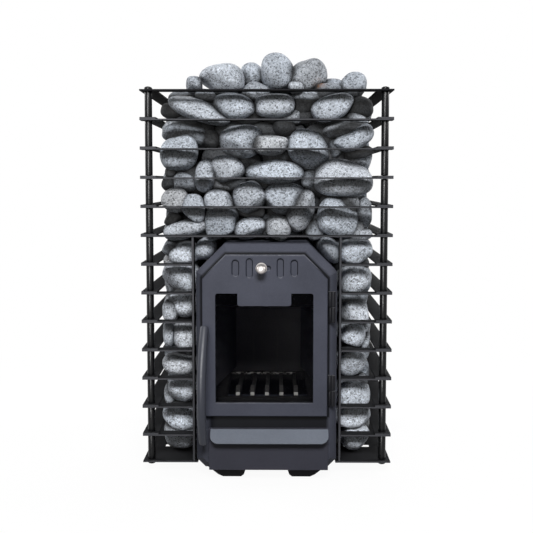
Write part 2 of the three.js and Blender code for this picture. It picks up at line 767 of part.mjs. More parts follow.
// The ball, the collar that slides on the door's face, and the stem, which is riveted in the slider plate.
function sliderKnob() {
  const stemStart = sliderRow[1];
  const collar = stemStart - doorFront + seatGap;
  const ball = stemStart - doorFront + knobStandOff;
  const firstAngle = Math.asin(knobStemRadius / knobRadius);
  const profile = [
    [0, 0],
    [knobStemRadius, 0],
    [knobStemRadius, collar],
    [knobCollarRadius, collar],
    [knobCollarRadius, collar + knobCollarThickness],
    [knobStemRadius, collar + knobCollarThickness],
    [knobStemRadius, ball - knobRadius * Math.cos(firstAngle)],
  ];
  const steps = 7;
  for (let i = 1; i <= steps; i++) {
    const angle = firstAngle + ((Math.PI - firstAngle) * i) / steps;
    const radius = i === steps ? 0 : knobRadius * Math.sin(angle);
    profile.push([radius, ball - knobRadius * Math.cos(angle)]);
  }
  return turned(profile, 12).rotateX(Math.PI / 2).translate(knobX, stemStart, airSlotHeight);
}

const guideTop = airSlotHeight - sliderHalfHeight - seatGap;
piece(door, "slider_guide", block(sliderSpan, sliderRow, [guideTop - guideHeight, guideTop]), bodySteel);
piece(airSlider, "slider_plate", sliderPlate(), doorSteel);
piece(airSlider, "slider_knob", sliderKnob(), brightSteel);

// Ash drawer: a pan that slides on the body's floor, its front panel and the sloped pull lip
const panFront = frameFront + seatGap;
const drawerFrontY = frameFront - seatGap - drawerFrontDepth;

function drawerPan() {
  const x = [drawerShift - drawerWidth / 2, drawerShift + drawerWidth / 2];
  const y = [panFront - 2 * seatGap, panFront - 2 * seatGap + drawerLength];
  const z = [bodyFloor + seatGap, bodyFloor + seatGap + drawerHeight];
  const inside = block(
    [x[0] + drawerSheet, x[1] - drawerSheet],
    [y[0] + drawerSheet, y[1] - drawerSheet],
    [z[0] + drawerSheet, z[1] + 1],
  );
  return cut(block(x, y, z), inside);
}

function drawerFront() {
  const half = drawerFrontWidth / 2;
  const bottom = footHeight + drawerFrontLift;
  const top = bottom + drawerFrontHeight;
  const x = [drawerShift - half, drawerShift + half];
  const y = [drawerFrontY, drawerFrontY + drawerFrontDepth];
  const sheet = 1.5 * drawerSheet;
  const inside = block(
    [x[0] + sheet, x[1] - sheet],
    [y[0] + sheet, y[1] - sheet],
    [bottom - 1, top - sheet],
  );
  return cut(block(x, y, [bottom, top]), inside);
}

// A flat plate with two round lower corners, hung from the panel's upper edge and sloping outwards.
function drawerLip() {
  const half = lipWidth / 2;
  const outline = new THREE.Shape();
  outline.moveTo(half, 0);
  outline.lineTo(-half, 0);
  outline.absarc(-half + lipRound, -lipLength + lipRound, lipRound, Math.PI, 1.5 * Math.PI);
  outline.absarc(half - lipRound, -lipLength + lipRound, lipRound, -Math.PI / 2, 0);
  const settings = { depth: lipThickness, bevelEnabled: false, curveSegments: 5 };
  const plate = new THREE.ExtrudeGeometry(outline, settings);
  const slope = THREE.MathUtils.degToRad(lipSlope);
  plate.rotateX(slope);
  const top = footHeight + drawerFrontLift + drawerFrontHeight;
  return plate.translate(
    drawerShift + (drawerFrontWidth - lipWidth) / 2,
    drawerFrontY - seatGap,
    top - lipThickness * Math.cos(slope),
  );
}

piece(ashDrawer, "drawer_pan", drawerPan(), bodySteel);
piece(ashDrawer, "drawer_front", drawerFront(), doorSteel);
piece(ashDrawer, "drawer_lip", drawerLip(), lipSteel);

// Stones: five piles inside the cage and the heap on top of them. In a pile the stones press into each other.
const shelfTop = bodyTop + seatGap;
const beside = bodyHalf + stoneGap;
const frontPileBack = -pileFace + frontPileThickness;
const faceWidth = 410;
const faceHeight = 275;
const columnHeight = 690;
const mixed = (i, k) => {
  const value = Math.sin(i * 12.9898 + k * 78.233) * 43758.5453;
  return 2 * (value - Math.floor(value)) - 1;
};

// A rounded stone in plain sight, and a plainer one for the walls, each a ball drawn out to its size.
function pebble([x, y, z], [width, depth, height], tilt = 0) {
  const ball = new THREE.OctahedronGeometry(1, 1).scale(width / 2, depth / 2, height / 2);
  return ball.rotateY(THREE.MathUtils.degToRad(tilt)).translate(x, y, z);
}

function wallStone([x, y, z], [width, depth, height], turn = {}) {
  const ball = new THREE.IcosahedronGeometry(1, 0);
  ball.computeBoundingBox();
  const reach = 2 * ball.boundingBox.max.x;
  ball.scale(width / reach, depth / reach, height / reach);
  if (turn.aboutX) ball.rotateX(THREE.MathUtils.degToRad(turn.aboutX));
  if (turn.aboutY) ball.rotateY(THREE.MathUtils.degToRad(turn.aboutY));
  return ball.translate(x, y, z);
}

const pile = (pebbles, ...limits) =>
  toGeometry(
    limits.reduce(
      (kept, limit) => kept.intersect(toSolid(limit)),
      pebbles.map(toSolid).reduce((all, next) => all.add(next)),
    ),
  );

// The stones of the side and back walls, from the top down: middle along the wall and above the base,
// length, height, and how far the end at the back or on the right leans down.
const wallStones = {
  left: [
    [54, 657, 119, 73, 0], [-59, 656, 133, 74, 1], [157, 652, 111, 83, 6], [32, 603, 60, 57, 32],
    [-89, 600, 77, 60, 11], [-20, 598, 71, 63, -43], [97, 589, 91, 81, -34], [170, 573, 84, 89, 29],
    [-74, 540, 105, 78, -9], [27, 532, 123, 89, -2], [137, 500, 139, 93, -2], [-68, 466, 116, 93, -4],
    [28, 454, 113, 82, -14], [174, 441, 79, 60, -9], [97, 422, 90, 66, -23], [-81, 389, 95, 83, -27],
    [162, 378, 101, 82, 8], [6, 376, 110, 90, -7], [84, 355, 78, 68, -8], [-63, 304, 131, 100, 3],
    [42, 302, 97, 68, 9], [146, 301, 134, 86, -4], [32, 246, 113, 63, 0], [144, 231, 134, 76, -2],
    [-65, 224, 124, 81, 6], [164, 177, 102, 52, -5], [50, 176, 140, 90, 6], [-76, 150, 115, 89, -29],
    [157, 118, 115, 83, 21], [-8, 108, 107, 84, -5], [79, 87, 104, 88, 6], [-67, 46, 131, 103, 18],
    [154, 36, 121, 82, -12], [41, 26, 117, 65, 5],
  ],
  right: [
    [-66, 662, 127, 61, -4], [40, 656, 113, 75, -4], [147, 648, 132, 92, -1], [-58, 600, 141, 81, -3],
    [51, 588, 112, 75, -14], [154, 564, 120, 97, 4], [-56, 527, 144, 85, -2], [68, 517, 118, 79, 12],
    [164, 481, 99, 85, 14], [9, 471, 92, 64, 3], [-80, 454, 98, 80, -2], [90, 434, 107, 89, -3],
    [164, 399, 103, 78, -27], [-7, 398, 117, 95, -3], [-88, 378, 76, 82, -24], [63, 350, 127, 74, -19],
    [167, 331, 96, 74, 27], [-57, 308, 138, 91, -8], [101, 297, 95, 65, -5], [29, 262, 113, 84, 5],
    [157, 246, 118, 94, -4], [-79, 232, 100, 82, -11], [-9, 197, 96, 71, -5], [87, 190, 113, 88, 8],
    [172, 166, 81, 74, -34], [-81, 158, 91, 74, 3], [16, 124, 122, 92, 1], [110, 115, 85, 74, -25],
    [174, 100, 77, 67, -26], [-72, 86, 113, 80, 10], [59, 45, 119, 96, 4], [156, 36, 108, 85, -1],
    [-22, 28, 79, 69, 15], [-90, 25, 73, 58, 19],
  ],
  back: [
    [66, 647, 148, 95, 5], [-69, 647, 143, 96, -8], [-10, 586, 100, 72, -8], [-92, 563, 93, 79, 24],
    [83, 562, 112, 95, -8], [-3, 519, 109, 71, 9], [-85, 487, 105, 88, 7], [91, 481, 97, 84, 24],
    [10, 445, 116, 84, 4], [-82, 404, 114, 96, 0], [91, 400, 94, 85, 5], [8, 360, 111, 91, -8],
    [-80, 321, 117, 84, 7], [85, 318, 110, 85, -15], [4, 275, 84, 77, 16], [-78, 249, 120, 76, 5],
    [83, 246, 109, 75, -5], [7, 187, 108, 101, -12], [96, 181, 83, 73, -2], [-87, 181, 103, 79, 5],
    [-78, 115, 120, 75, -10], [72, 111, 130, 93, 4], [-7, 95, 62, 75, -6], [-77, 40, 122, 91, 0],
    [86, 35, 103, 80, -3], [9, 31, 72, 78, 40],
  ],
};

// The stones seen beside the firebox door, from the top down: middle from the cage's middle and above its
// base, size across and up, how far each leans outwards, and 1 for those of the second row.
const columnStones = {
  left: [
    [156, 386, 61, 35, -10, 0], [200, 391, 39, 25, -5, 1], [181, 340, 77, 54, -14, 0],
    [160, 289, 61, 46, -32, 0], [186, 274, 36, 33, -10, 0], [194, 231, 25, 44, 0, 0],
    [157, 229, 54, 48, 10, 0], [177, 168, 84, 36, 4, 0], [160, 122, 69, 50, -30, 0],
    [191, 106, 29, 35, 0, 1], [168, 63, 73, 50, 0, 0], [170, 31, 73, 46, -4, 0],
  ],
  right: [
    [171, 389, 83, 40, 3, 0], [132, 381, 25, 46, -35, 1], [172, 338, 73, 48, -14, 0],
    [175, 362, 50, 23, 0, 1], [168, 274, 67, 38, 3, 0], [166, 299, 62, 31, 0, 1],
    [165, 231, 59, 46, -8, 0], [190, 215, 25, 23, 0, 1], [165, 176, 61, 48, -10, 0],
    [170, 113, 71, 50, 0, 0], [186, 135, 27, 23, 0, 1], [164, 70, 77, 42, -8, 0],
    [183, 49, 46, 29, -10, 1], [178, 28, 58, 50, 0, 0],
  ],
};

function sideWall(side) {
  const sx = pileFace / (faceWidth / 2);
  const sz = (pileTop - baseTop) / columnHeight;
  const stonesOfWall = wallStones[side > 0 ? "right" : "left"].map(([y, z, length, tall, lean], i) => {
    const deep = (pileFace - beside) * (1 - (stoneWander * (1 + mixed(i, 4))) / 2);
    const at = [side * (pileFace - deep / 2), y * sx, baseTop + z * sz];
    return wallStone(at, [deep, length * sx * wallPress, tall * sz * wallPress], { aboutX: -lean });
  });
  for (const [x, z, width, height, lean, row] of columnStones[side > 0 ? "right" : "left"]) {
    const at = [side * x * sx, -pileFace + sideStoneDepth / 2 + row * stoneSetBack, baseTop + z * sz];
    const size = [width * sx * stonePress, sideStoneDepth, height * sz * stonePress];
    stonesOfWall.push(pebble(at, size, side * lean));
  }
  const shoulderPitch = (2 * pileFace) / shoulderCount;
  for (let i = 0; i < shoulderCount; i++) {
    const y = -pileFace + shoulderPitch * (i + 0.5);
    const at = [side * (bodyHalf - shoulderIn), y, bodyTop - shoulderDrop];
    const size = [shoulderLength, shoulderPitch * shoulderLap, shoulderThickness];
    stonesOfWall.push(pebble(at, size, side * 45));
  }
  const across = (inner) => (side > 0 ? [inner, pileFace] : [-pileFace, -inner]);
  const height = [baseTop + seatGap, pileTop];
  const behind = block(across(beside), [frontPileBack + stoneGap, pileFace], height);
  const below = block(across(beside), [-pileFace, pileFace], [height[0], bodyTop]);
  const corner = [across(bodyHalf - bodyChamfer), [-pileFace, bodyBack], [bodyTop - bodyChamfer, bodyTop]];
  const clearOfBody = alongY(outlineOf(bodyCorners(-stoneGap)), [bodyFront, bodyBack + stoneGap]);
  return pile(stonesOfWall, join(behind, below, cut(block(...corner), clearOfBody)));
}

function backWall() {
  const across = pileFace - bodyBack - stoneGap;
  const height = [baseTop + seatGap, pileTop];
  const sx = pileFace / (faceWidth / 2);
  const sz = (pileTop - baseTop) / columnHeight;
  const stonesOfWall = wallStones.back.map(([x, z, length, tall, lean], i) => {
    const deep = across * (1 - (stoneWander * (1 + mixed(i, 6))) / 2);
    const at = [x * sx, pileFace - deep / 2, baseTop + z * sz];
    return wallStone(at, [length * sx * wallPress, deep, tall * sz * wallPress], { aboutY: lean });
  });
  return pile(stonesOfWall, block([-bodyHalf, bodyHalf], [bodyBack + stoneGap, pileFace], height));
}

// The stones seen through the upper front bars: middle and size across and up, on a face 410 wide and
// 275 high, how far each leans to the right, and 1 for those of the second row.
const faceStones = [
  [-190, 249, 46, 31, 0, 1], [-129, 249, 127, 42, 17, 0], [-117, 277, 43, 23, 10, 1],
  [-62, 257, 81, 50, 10, 0], [-21, 285, 54, 39, 8, 1], [15, 258, 77, 46, -4, 0],
  [86, 275, 85, 27, 0, 1], [75, 262, 58, 35, -20, 1], [125, 255, 84, 48, -20, 0],
  [48, 237, 43, 31, 0, 1], [184, 256, 50, 43, 10, 1], [173, 233, 43, 21, 6, 1],
  [-169, 205, 93, 54, 0, 1], [-170, 170, 73, 73, 5, 0], [-108, 195, 39, 39, 0, 1],
  [-49, 191, 84, 69, -10, 0], [4, 183, 73, 40, 3, 0], [33, 214, 46, 35, 0, 1], [79, 175, 81, 77, 4, 0],
  [150, 214, 89, 31, -10, 1], [183, 195, 81, 42, -30, 0], [133, 178, 31, 39, 0, 1],
  [181, 170, 54, 25, -8, 1], [-185, 132, 23, 23, 0, 1], [-118, 124, 40, 65, 5, 0],
  [-76, 138, 69, 54, 5, 0], [-97, 107, 70, 29, 6, 1], [14, 132, 115, 48, 3, 0],
  [146, 121, 115, 75, 0, 0], [83, 117, 35, 39, 20, 1], [-193, 111, 27, 31, 0, 1],
  [-158, 113, 50, 39, 5, 1], [-176, 79, 54, 48, 5, 0], [-140, 61, 44, 58, -12, 0],
  [-92, 77, 59, 46, 5, 0], [-33, 84, 65, 65, 0, 0], [-31, 53, 54, 31, 0, 1], [35, 81, 88, 63, 0, 0],
  [67, 58, 50, 84, 24, 0], [136, 46, 81, 77, 8, 0], [158, 69, 46, 39, 0, 1], [191, 53, 35, 66, 0, 1],
  [-180, 45, 44, 36, 0, 1], [-154, 19, 92, 38, -12, 0], [-86, 29, 65, 69, 0, 0],
  [-32, 25, 65, 42, -8, 0], [2, 22, 23, 39, 0, 1], [21, 23, 52, 50, 0, 0], [97, 15, 46, 50, 0, 1],
  [192, 13, 50, 23, 0, 1], [-173, -3, 50, 27, 0, 1],
];

function frontWall() {
  const sx = pileFace / (faceWidth / 2);
  const sz = (pileTop - shelfTop) / faceHeight;
  const wall = faceStones.map(([x, z, width, height, lean, row], i) => {
    const depth = faceStoneDepth * (1 + stoneWander * mixed(i, 5));
    const at = [x * sx, -pileFace + depth / 2 + row * stoneSetBack, shelfTop + z * sz];
    const grown = stonePress + row * hiddenPress;
    return pebble(at, [width * sx * grown, depth, height * sz * grown], lean);
  });
  const limit = block([-pileFace, pileFace], [-pileFace, frontPileBack], [shelfTop, pileTop]);
  return pile(wall, limit);
}

// The hidden stones on top of the firebox, round the flue collar.
function middlePile() {
  const y = [frontPileBack + stoneGap, bodyBack];
  const layerPitch = (pileTop - shelfTop) / middleLayers;
  const collar = flueFlangeRadius + stoneGap;
  const frontRow = [(y[0] + flueBehind - collar) / 2, flueBehind - collar - y[0]];
  const layers = [];
  for (let layer = 0; layer < middleLayers; layer++) {
    const z = shelfTop + layerPitch * (layer + 0.5);
    const tall = layerPitch * middleLap;
    for (const side of [-1, 1]) {
      const corner = side * (bodyHalf + collar) * 0.5;
      const front = [(side * bodyHalf) / 2, frontRow[0], z];
      layers.push(wallStone(front, [bodyHalf * middleLap, frontRow[1], tall]));
      layers.push(wallStone([corner, flueBehind, z], [bodyHalf - collar, 2 * (y[1] - flueBehind), tall]));
    }
  }
  return pile(layers, block([-bodyHalf, bodyHalf], y, [shelfTop, pileTop]));
}

// The heap: middle and size of each stone across, back and up, above the tops of the piles.
const heapStones = [
  [-139, -165, 22, 36, 50, 33], [-87, -146, 33, 88, 100, 62, -3], [-26, -112, 44, 58, 60, 50, 10],
  [20, -150, 49, 64, 72, 72], [79, -138, 40, 74, 80, 74, 12], [55, -170, 14, 40, 50, 26],
  [129, -110, 22, 56, 60, 36], [166, -150, 24, 51, 60, 51, 4], [-21, -158, 12, 64, 76, 46, 8],
  [114, -150, 13, 66, 80, 38], [-150, -80, 4, 92, 84, 34], [-66, -72, 24, 94, 88, 56],
  [16, -74, 30, 88, 90, 62], [96, -76, 24, 92, 86, 52], [164, -84, 14, 66, 84, 40],
  [-150, 6, 8, 90, 104, 40], [142, 2, 18, 96, 106, 50], [-144, 92, 16, 100, 96, 46],
  [146, 90, 15, 96, 98, 44], [-92, 152, 15, 112, 78, 46], [4, 154, 16, 104, 76, 50],
  [96, 152, 14, 106, 80, 44],
];

function heap() {
  const scale = pileFace / (faceWidth / 2);
  const floor = pileTop + stoneGap;
  const tallest = heapStones.map(([, , z, , , height]) => z + height / 2).reduce((a, b) => Math.max(a, b));
  const rise = heapHeight / tallest;
  const pebbles = heapStones.map(([x, y, z, width, depth, height, tilt]) => {
    const size = [width * scale * stonePress, depth * scale * stonePress, height * rise];
    return pebble([x * scale, y * scale, floor + z * rise], size, tilt);
  });
  const limit = block([-pileFace, pileFace], [-pileFace, pileFace], [floor, floor + heapHeight]);
  const collar = roundBar(flueRadius + stoneGap, [floor - 1, floor + heapHeight + 1], "z", 20);
  return pile(pebbles, cut(limit, collar.translate(0, flueBehind, 0)));
}

piece(stones, "stones_front", frontWall(), granite);
piece(stones, "stones_left", sideWall(-1), granite);
piece(stones, "stones_right", sideWall(1), granite);
piece(stones, "stones_back", backWall(), granite);
piece(stones, "stones_middle", middlePile(), granite);
piece(stones, "stones_heap", heap(), granite);

// The origin goes under the middle of the whole heater.
const extent = new THREE.Box3().setFromObject(heater);
heater.position.y = -(extent.min.y + extent.max.y) / 2;
heater.position.x = -(extent.min.x + extent.max.x) / 2;

export default heater;
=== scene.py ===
import math
import bmesh
import bpy
import numpy as np
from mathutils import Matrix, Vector


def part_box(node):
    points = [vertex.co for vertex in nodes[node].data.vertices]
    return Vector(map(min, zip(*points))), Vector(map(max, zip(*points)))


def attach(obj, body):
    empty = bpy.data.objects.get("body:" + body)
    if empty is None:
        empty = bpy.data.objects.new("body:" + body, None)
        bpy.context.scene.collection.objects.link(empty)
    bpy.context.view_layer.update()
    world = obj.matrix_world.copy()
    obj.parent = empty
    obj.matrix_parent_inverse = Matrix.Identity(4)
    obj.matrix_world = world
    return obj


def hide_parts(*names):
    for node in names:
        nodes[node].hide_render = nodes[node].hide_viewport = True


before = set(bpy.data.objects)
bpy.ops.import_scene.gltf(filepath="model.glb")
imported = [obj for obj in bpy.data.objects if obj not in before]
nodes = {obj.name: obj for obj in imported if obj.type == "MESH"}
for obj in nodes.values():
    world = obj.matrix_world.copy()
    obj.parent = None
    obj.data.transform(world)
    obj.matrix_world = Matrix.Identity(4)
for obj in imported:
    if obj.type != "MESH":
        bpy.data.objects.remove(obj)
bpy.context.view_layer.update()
scene = bpy.context.scene
baseLow, baseHigh = (np.array(c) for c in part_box("base_plate"))
cageMid = (baseLow + baseHigh) / 2  # middle of the cage, from which the lists below count in millimetres
cageMid[2] = 0.0


def place(points):  # millimetres from the cage's middle to metres in the frame
    return np.asarray(points, float) * 0.001 + cageMid


def limits(nodeName):  # a node's lowest and highest corner, back in those millimetres
    low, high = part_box(nodeName)
    return (np.array(low) - cageMid) * 1000, (np.array(high) - cageMid) * 1000


# mesh makers
def meshPiece(name, points, faces, smooth=True):
    mesh = bpy.data.meshes.new(name)
    mesh.from_pydata(np.asarray(points, float), [], faces)
    mesh.validate()
    mesh.polygons.foreach_set("use_smooth", np.full(len(mesh.polygons), smooth))
    piece = bpy.data.objects.new(name, mesh)
    scene.collection.objects.link(piece)
    return piece


def standFor(piece, body, slot, material, *nodeNames):
    piece.data.materials.append(material)
    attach(piece, body)
    if nodeNames:
        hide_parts(*nodeNames)
    return piece


def gridFaces(rows, columns, wrapRows=False, wrapColumns=False):
    # each grid cell (i, j) is one quad; a wrapped side joins its last line to its first
    i, j = np.meshgrid(np.arange(rows - (not wrapRows)), np.arange(columns - (not wrapColumns)), indexing="ij")
    a, b = (i + 1) % rows, (j + 1) % columns
    return np.stack([i * columns + j, i * columns + b, a * columns + b, a * columns + j], -1).reshape(-1, 4)


def closedEnds(rows, columns):
    # the first and the last ring of a grid, each as one face
    return [list(range(columns))[::-1], list(range((rows - 1) * columns, rows * columns))]


def turnedSurface(profile, axisPoint, sides, along=(0, 0, 1), ring=False):
    # every point (radius, height) of the profile goes round the axis: radius * (cos, sin) beside it, height along it;
    # a ring's profile comes back to its start, any other is closed by a face at each end
    profile = np.asarray(profile, float)
    angle = np.linspace(0, 2 * np.pi, sides, endpoint=False)
    axis = np.asarray(along, float)
    side = np.cross(axis, (0.0, 1.0, 0.0) if abs(axis[1]) < 0.9 else (0.0, 0.0, 1.0))
    side /= np.linalg.norm(side)
    other = np.cross(axis, side)
    circle = np.cos(angle)[:, None] * side + np.sin(angle)[:, None] * other
    points = profile[:, 0, None, None] * circle[None] + profile[:, 1, None, None] * axis + np.asarray(axisPoint, float)
    faces = gridFaces(len(profile), sides, ring, True).tolist()
    return points.reshape(-1, 3), faces if ring else faces + closedEnds(len(profile), sides)


def roundedProfile(corners, radius, steps=4):
    # each corner of a polyline becomes a quadratic arc: (1-t)^2 a + 2t(1-t) corner + t^2 b
    corners = np.asarray(corners, float)
    before, here, after = corners[:-2], corners[1:-1], corners[2:]
    backLength = np.linalg.norm(before - here, axis=1, keepdims=True)
    nextLength = np.linalg.norm(after - here, axis=1, keepdims=True)
    cut = np.minimum(radius, 0.45 * np.minimum(backLength, nextLength))
    a = here + (before - here) / backLength * cut
    b = here + (after - here) / nextLength * cut
    t = np.linspace(0, 1, steps)[None, :, None]
    arcs = (1 - t) ** 2 * a[:, None] + 2 * t * (1 - t) * here[:, None] + t ** 2 * b[:, None]
    return np.vstack([corners[:1], arcs.reshape(-1, corners.shape[1]), corners[-1:]])


def roundedLoop(corners, radius, steps=4):
    # the same arcs on a closed outline, whose last corner is followed by its first
    corners = np.asarray(corners, float)
    return roundedProfile(np.vstack([corners[-1:], corners, corners[:1]]), radius, steps)[1:-1]


def sweptTube(path, radius, sides):
    # a circle carried along a path in one upright plane: its frame is the path's tangent, the x axis and their cross
    path = np.asarray(path, float)
    tangent = np.gradient(path, axis=0)
    tangent /= np.linalg.norm(tangent, axis=1, keepdims=True)
    across = np.tile([1.0, 0.0, 0.0], (len(path), 1))
    up = np.cross(tangent, across)
    up /= np.linalg.norm(up, axis=1, keepdims=True)
    angle = np.linspace(0, 2 * np.pi, sides, endpoint=False)
    radius = np.broadcast_to(radius, len(path))
    circle = np.cos(angle)[None, :, None] * across[:, None] + np.sin(angle)[None, :, None] * up[:, None]
    points = path[:, None] + radius[:, None, None] * circle
    return points.reshape(-1, 3), gridFaces(len(path), sides, False, True).tolist() + closedEnds(len(path), sides)


def roundedSlab(low, high, radius):
    # a rounded rectangle in x and y, drawn in by radius * (1 - cos) and moved by radius * (1 - sin) at both ends of z
    low, high = np.asarray(low, float), np.asarray(high, float)
    turn = np.linspace(0, np.pi / 2, 4)
    inset = np.concatenate([radius * (1 - np.sin(turn)), radius * (1 - np.sin(turn))[::-1]])
    height = np.concatenate([low[2] + radius * (1 - np.cos(turn)), high[2] - radius * (1 - np.cos(turn))[::-1]])
    corner = np.array([(1, 1), (-1, 1), (-1, -1), (1, -1)])
    half = (high[:2] - low[:2]) / 2
    ring = corner[None] * (half - inset[:, None])[:, None]
    points = np.concatenate([ring + (low[:2] + high[:2]) / 2, np.broadcast_to(height[:, None, None], (*ring.shape[:2], 1))], -1)
    rows, columns = points.shape[:2]
    return points.reshape(-1, 3), gridFaces(rows, columns, False, True).tolist() + closedEnds(rows, columns)


def joined(*parts):
    # several grids as one list of points and faces
    points, faces, start = [], [], 0
    for some, cells in parts:
        points.append(np.asarray(some, float))
        faces += [[k + start for k in cell] for cell in cells]
        start += len(some)
    return np.concatenate(points), faces


def unitBall(cells):
    # a cube's six gridded faces pushed out to length one; tan() evens out the cells, equal points are merged
    line = np.tan(np.linspace(-1, 1, cells + 1) * np.pi / 4)
    u, v = np.meshgrid(line, line, indexing="ij")
    one = np.ones_like(u)
    sheets = [(one, u, v), (-one, v, u), (v, one, u), (u, -one, v), (u, v, one), (v, u, -one)]
    points = np.concatenate([np.stack(s, -1).reshape(-1, 3) for s in sheets])
    faces = np.concatenate([gridFaces(cells + 1, cells + 1) + k * (cells + 1) ** 2 for k in range(6)])
    key, first, back = np.unique(np.round(points, 5), axis=0, return_index=True, return_inverse=True)
    points = points[first]
    points /= np.linalg.norm(points, axis=1, keepdims=True)
    return points, back.reshape(-1)[faces][:, ::-1]


print("makers ready")


# shader helpers
def newMaterial(name):
    material = bpy.data.materials.new(name)
    material.use_nodes = True
    tree = material.node_tree
    return material, tree, tree.nodes["Principled BSDF"]


def addNode(tree, kind, inputs=None, **settings):
    node = tree.nodes.new(kind)
    for key, value in settings.items():
        setattr(node, key, value)
    for key, value in (inputs or {}).items():
        if isinstance(value, bpy.types.NodeSocket):
            tree.links.new(value, node.inputs[key])
        else:
            node.inputs[key].default_value = value
    return node


def noise(tree, at, scale, detail=4.0, roughness=0.6):
    return addNode(tree, "ShaderNodeTexNoise", {"Vector": at, "Scale": scale, "Detail": detail, "Roughness": roughness}).outputs["Fac"]


def remap(tree, value, fromMin, fromMax, toMin=0.0, toMax=1.0):
    return addNode(tree, "ShaderNodeMapRange", {"Value": value, "From Min": fromMin, "From Max": fromMax,
                                                "To Min": toMin, "To Max": toMax}).outputs[0]


def calc(tree, operation, *values):
    return addNode(tree, "ShaderNodeMath", dict(enumerate(values)), operation=operation).outputs[0]


def scaled(tree, colour, factor):
    return addNode(tree, "ShaderNodeVectorMath", {0: colour, "Scale": factor}, operation="SCALE").outputs[0]


def times(tree, a, b):
    return addNode(tree, "ShaderNodeVectorMath", {0: a, 1: b}, operation="MULTIPLY").outputs[0]


def mixed(tree, factor, a, b):
    return addNode(tree, "ShaderNodeMix", {"Factor": factor, "A": a, "B": b}, data_type="RGBA").outputs[2]


def ramp(tree, fac, stops):
    node = addNode(tree, "ShaderNodeValToRGB", {0: fac})
    while len(node.color_ramp.elements) < len(stops):
        node.color_ramp.elements.new(0.5)
    for element, (position, colour) in zip(node.color_ramp.elements, stops):
        element.position = position
        element.color = (*colour, 1.0)
    return node.outputs[0]


def grey(value):
    return (value, value, value)


def newGroup(name, inputs, outputs):
    tree = bpy.data.node_groups.new(name, "ShaderNodeTree")
    for socketName, value in inputs:
        kind = "NodeSocketFloat" if isinstance(value, float) else "NodeSocketColor" if value else "NodeSocketVector"
        socket = tree.interface.new_socket(socketName, in_out="INPUT", socket_type=kind)
        if value:
            socket.default_value = value
    for socketName in outputs:
        kind = "NodeSocketColor" if socketName == "Colour" else "NodeSocketFloat"
        tree.interface.new_socket(socketName, in_out="OUTPUT", socket_type=kind)
    return tree, tree.nodes.new("NodeGroupInput").outputs, tree.nodes.new("NodeGroupOutput").inputs


# stove paint: fine spray grain, cloudy heat fading, pale dust lying on faces that look up (on the door also a painted
# highlight), and painted shade on faces that turn away from the front and on faces that look up
def sprayPaintGroup():
    tree, given, made = newGroup(
        "sprayPaint", [("Position", None), ("Paint", (0.05, 0.05, 0.06, 1)), ("Fading", 0.2), ("DustAndSheen", 0.2), ("Gloss", 0.45), ("TurnedShade", 0.0001), ("TopShade", 0.0001)],
        ["Colour", "Roughness", "Grain"])
    at = given["Position"]
    clouds = remap(tree, noise(tree, at, 9.0, 5.0), 0.3, 0.7, -0.5, 0.5)
    fleck = noise(tree, at, 210.0, 3.0, 0.65)
    shade = calc(tree, "MULTIPLY_ADD", clouds, given["Fading"], 1.0)
    mottle = remap(tree, noise(tree, at, 620.0, 2.0), 0.25, 0.75, 0.9, 1.1)
    own = addNode(tree, "ShaderNodeSeparateXYZ", {0: addNode(tree, "ShaderNodeTexCoord").outputs["Normal"]}).outputs
    # painted shade: darker where the face turns away from the front (Turned) and where it looks up (Tops)
    turned = calc(tree, "MULTIPLY", remap(tree, calc(tree, "ABSOLUTE", own["Y"]), 0.6, 0.98, 1.0, 0.0), remap(tree, own["Z"], 0.25, 0.65, 1.0, 0.0))
    shaded = calc(tree, "MAXIMUM", calc(tree, "MULTIPLY", turned, given["TurnedShade"]), calc(tree, "MULTIPLY", remap(tree, own["Z"], 0.25, 0.65), given["TopShade"]))
    unshaded = calc(tree, "SUBTRACT", 1.0, shaded)
    faded = scaled(tree, given["Paint"], calc(tree, "MULTIPLY", calc(tree, "MULTIPLY", shade, mottle), unshaded))
    normal = addNode(tree, "ShaderNodeNewGeometry").outputs["Normal"]
    upward = addNode(tree, "ShaderNodeSeparateXYZ", {0: normal}).outputs["Z"]
    # pale dust on faces that look up; on the door, whose dust is set high, it is also a painted highlight on the
    # up-facing fold edges and sill
    lying = calc(tree, "MULTIPLY", remap(tree, upward, 0.3, 0.75), remap(tree, fleck, 0.2, 0.6))
    amount = calc(tree, "MULTIPLY", lying, given["DustAndSheen"])
    rough = calc(tree, "ADD", remap(tree, fleck, 0.3, 0.7, -0.06, 0.08), calc(tree, "MULTIPLY_ADD", shaded, 0.4, given["Gloss"]))
    tree.links.new(mixed(tree, amount, faded, (0.27, 0.275, 0.30, 1)), made["Colour"])
    tree.links.new(calc(tree, "MULTIPLY_ADD", amount, 0.4, rough), made["Roughness"])
    tree.links.new(noise(tree, at, 900.0, 2.0, 0.5), made["Grain"])
    return tree


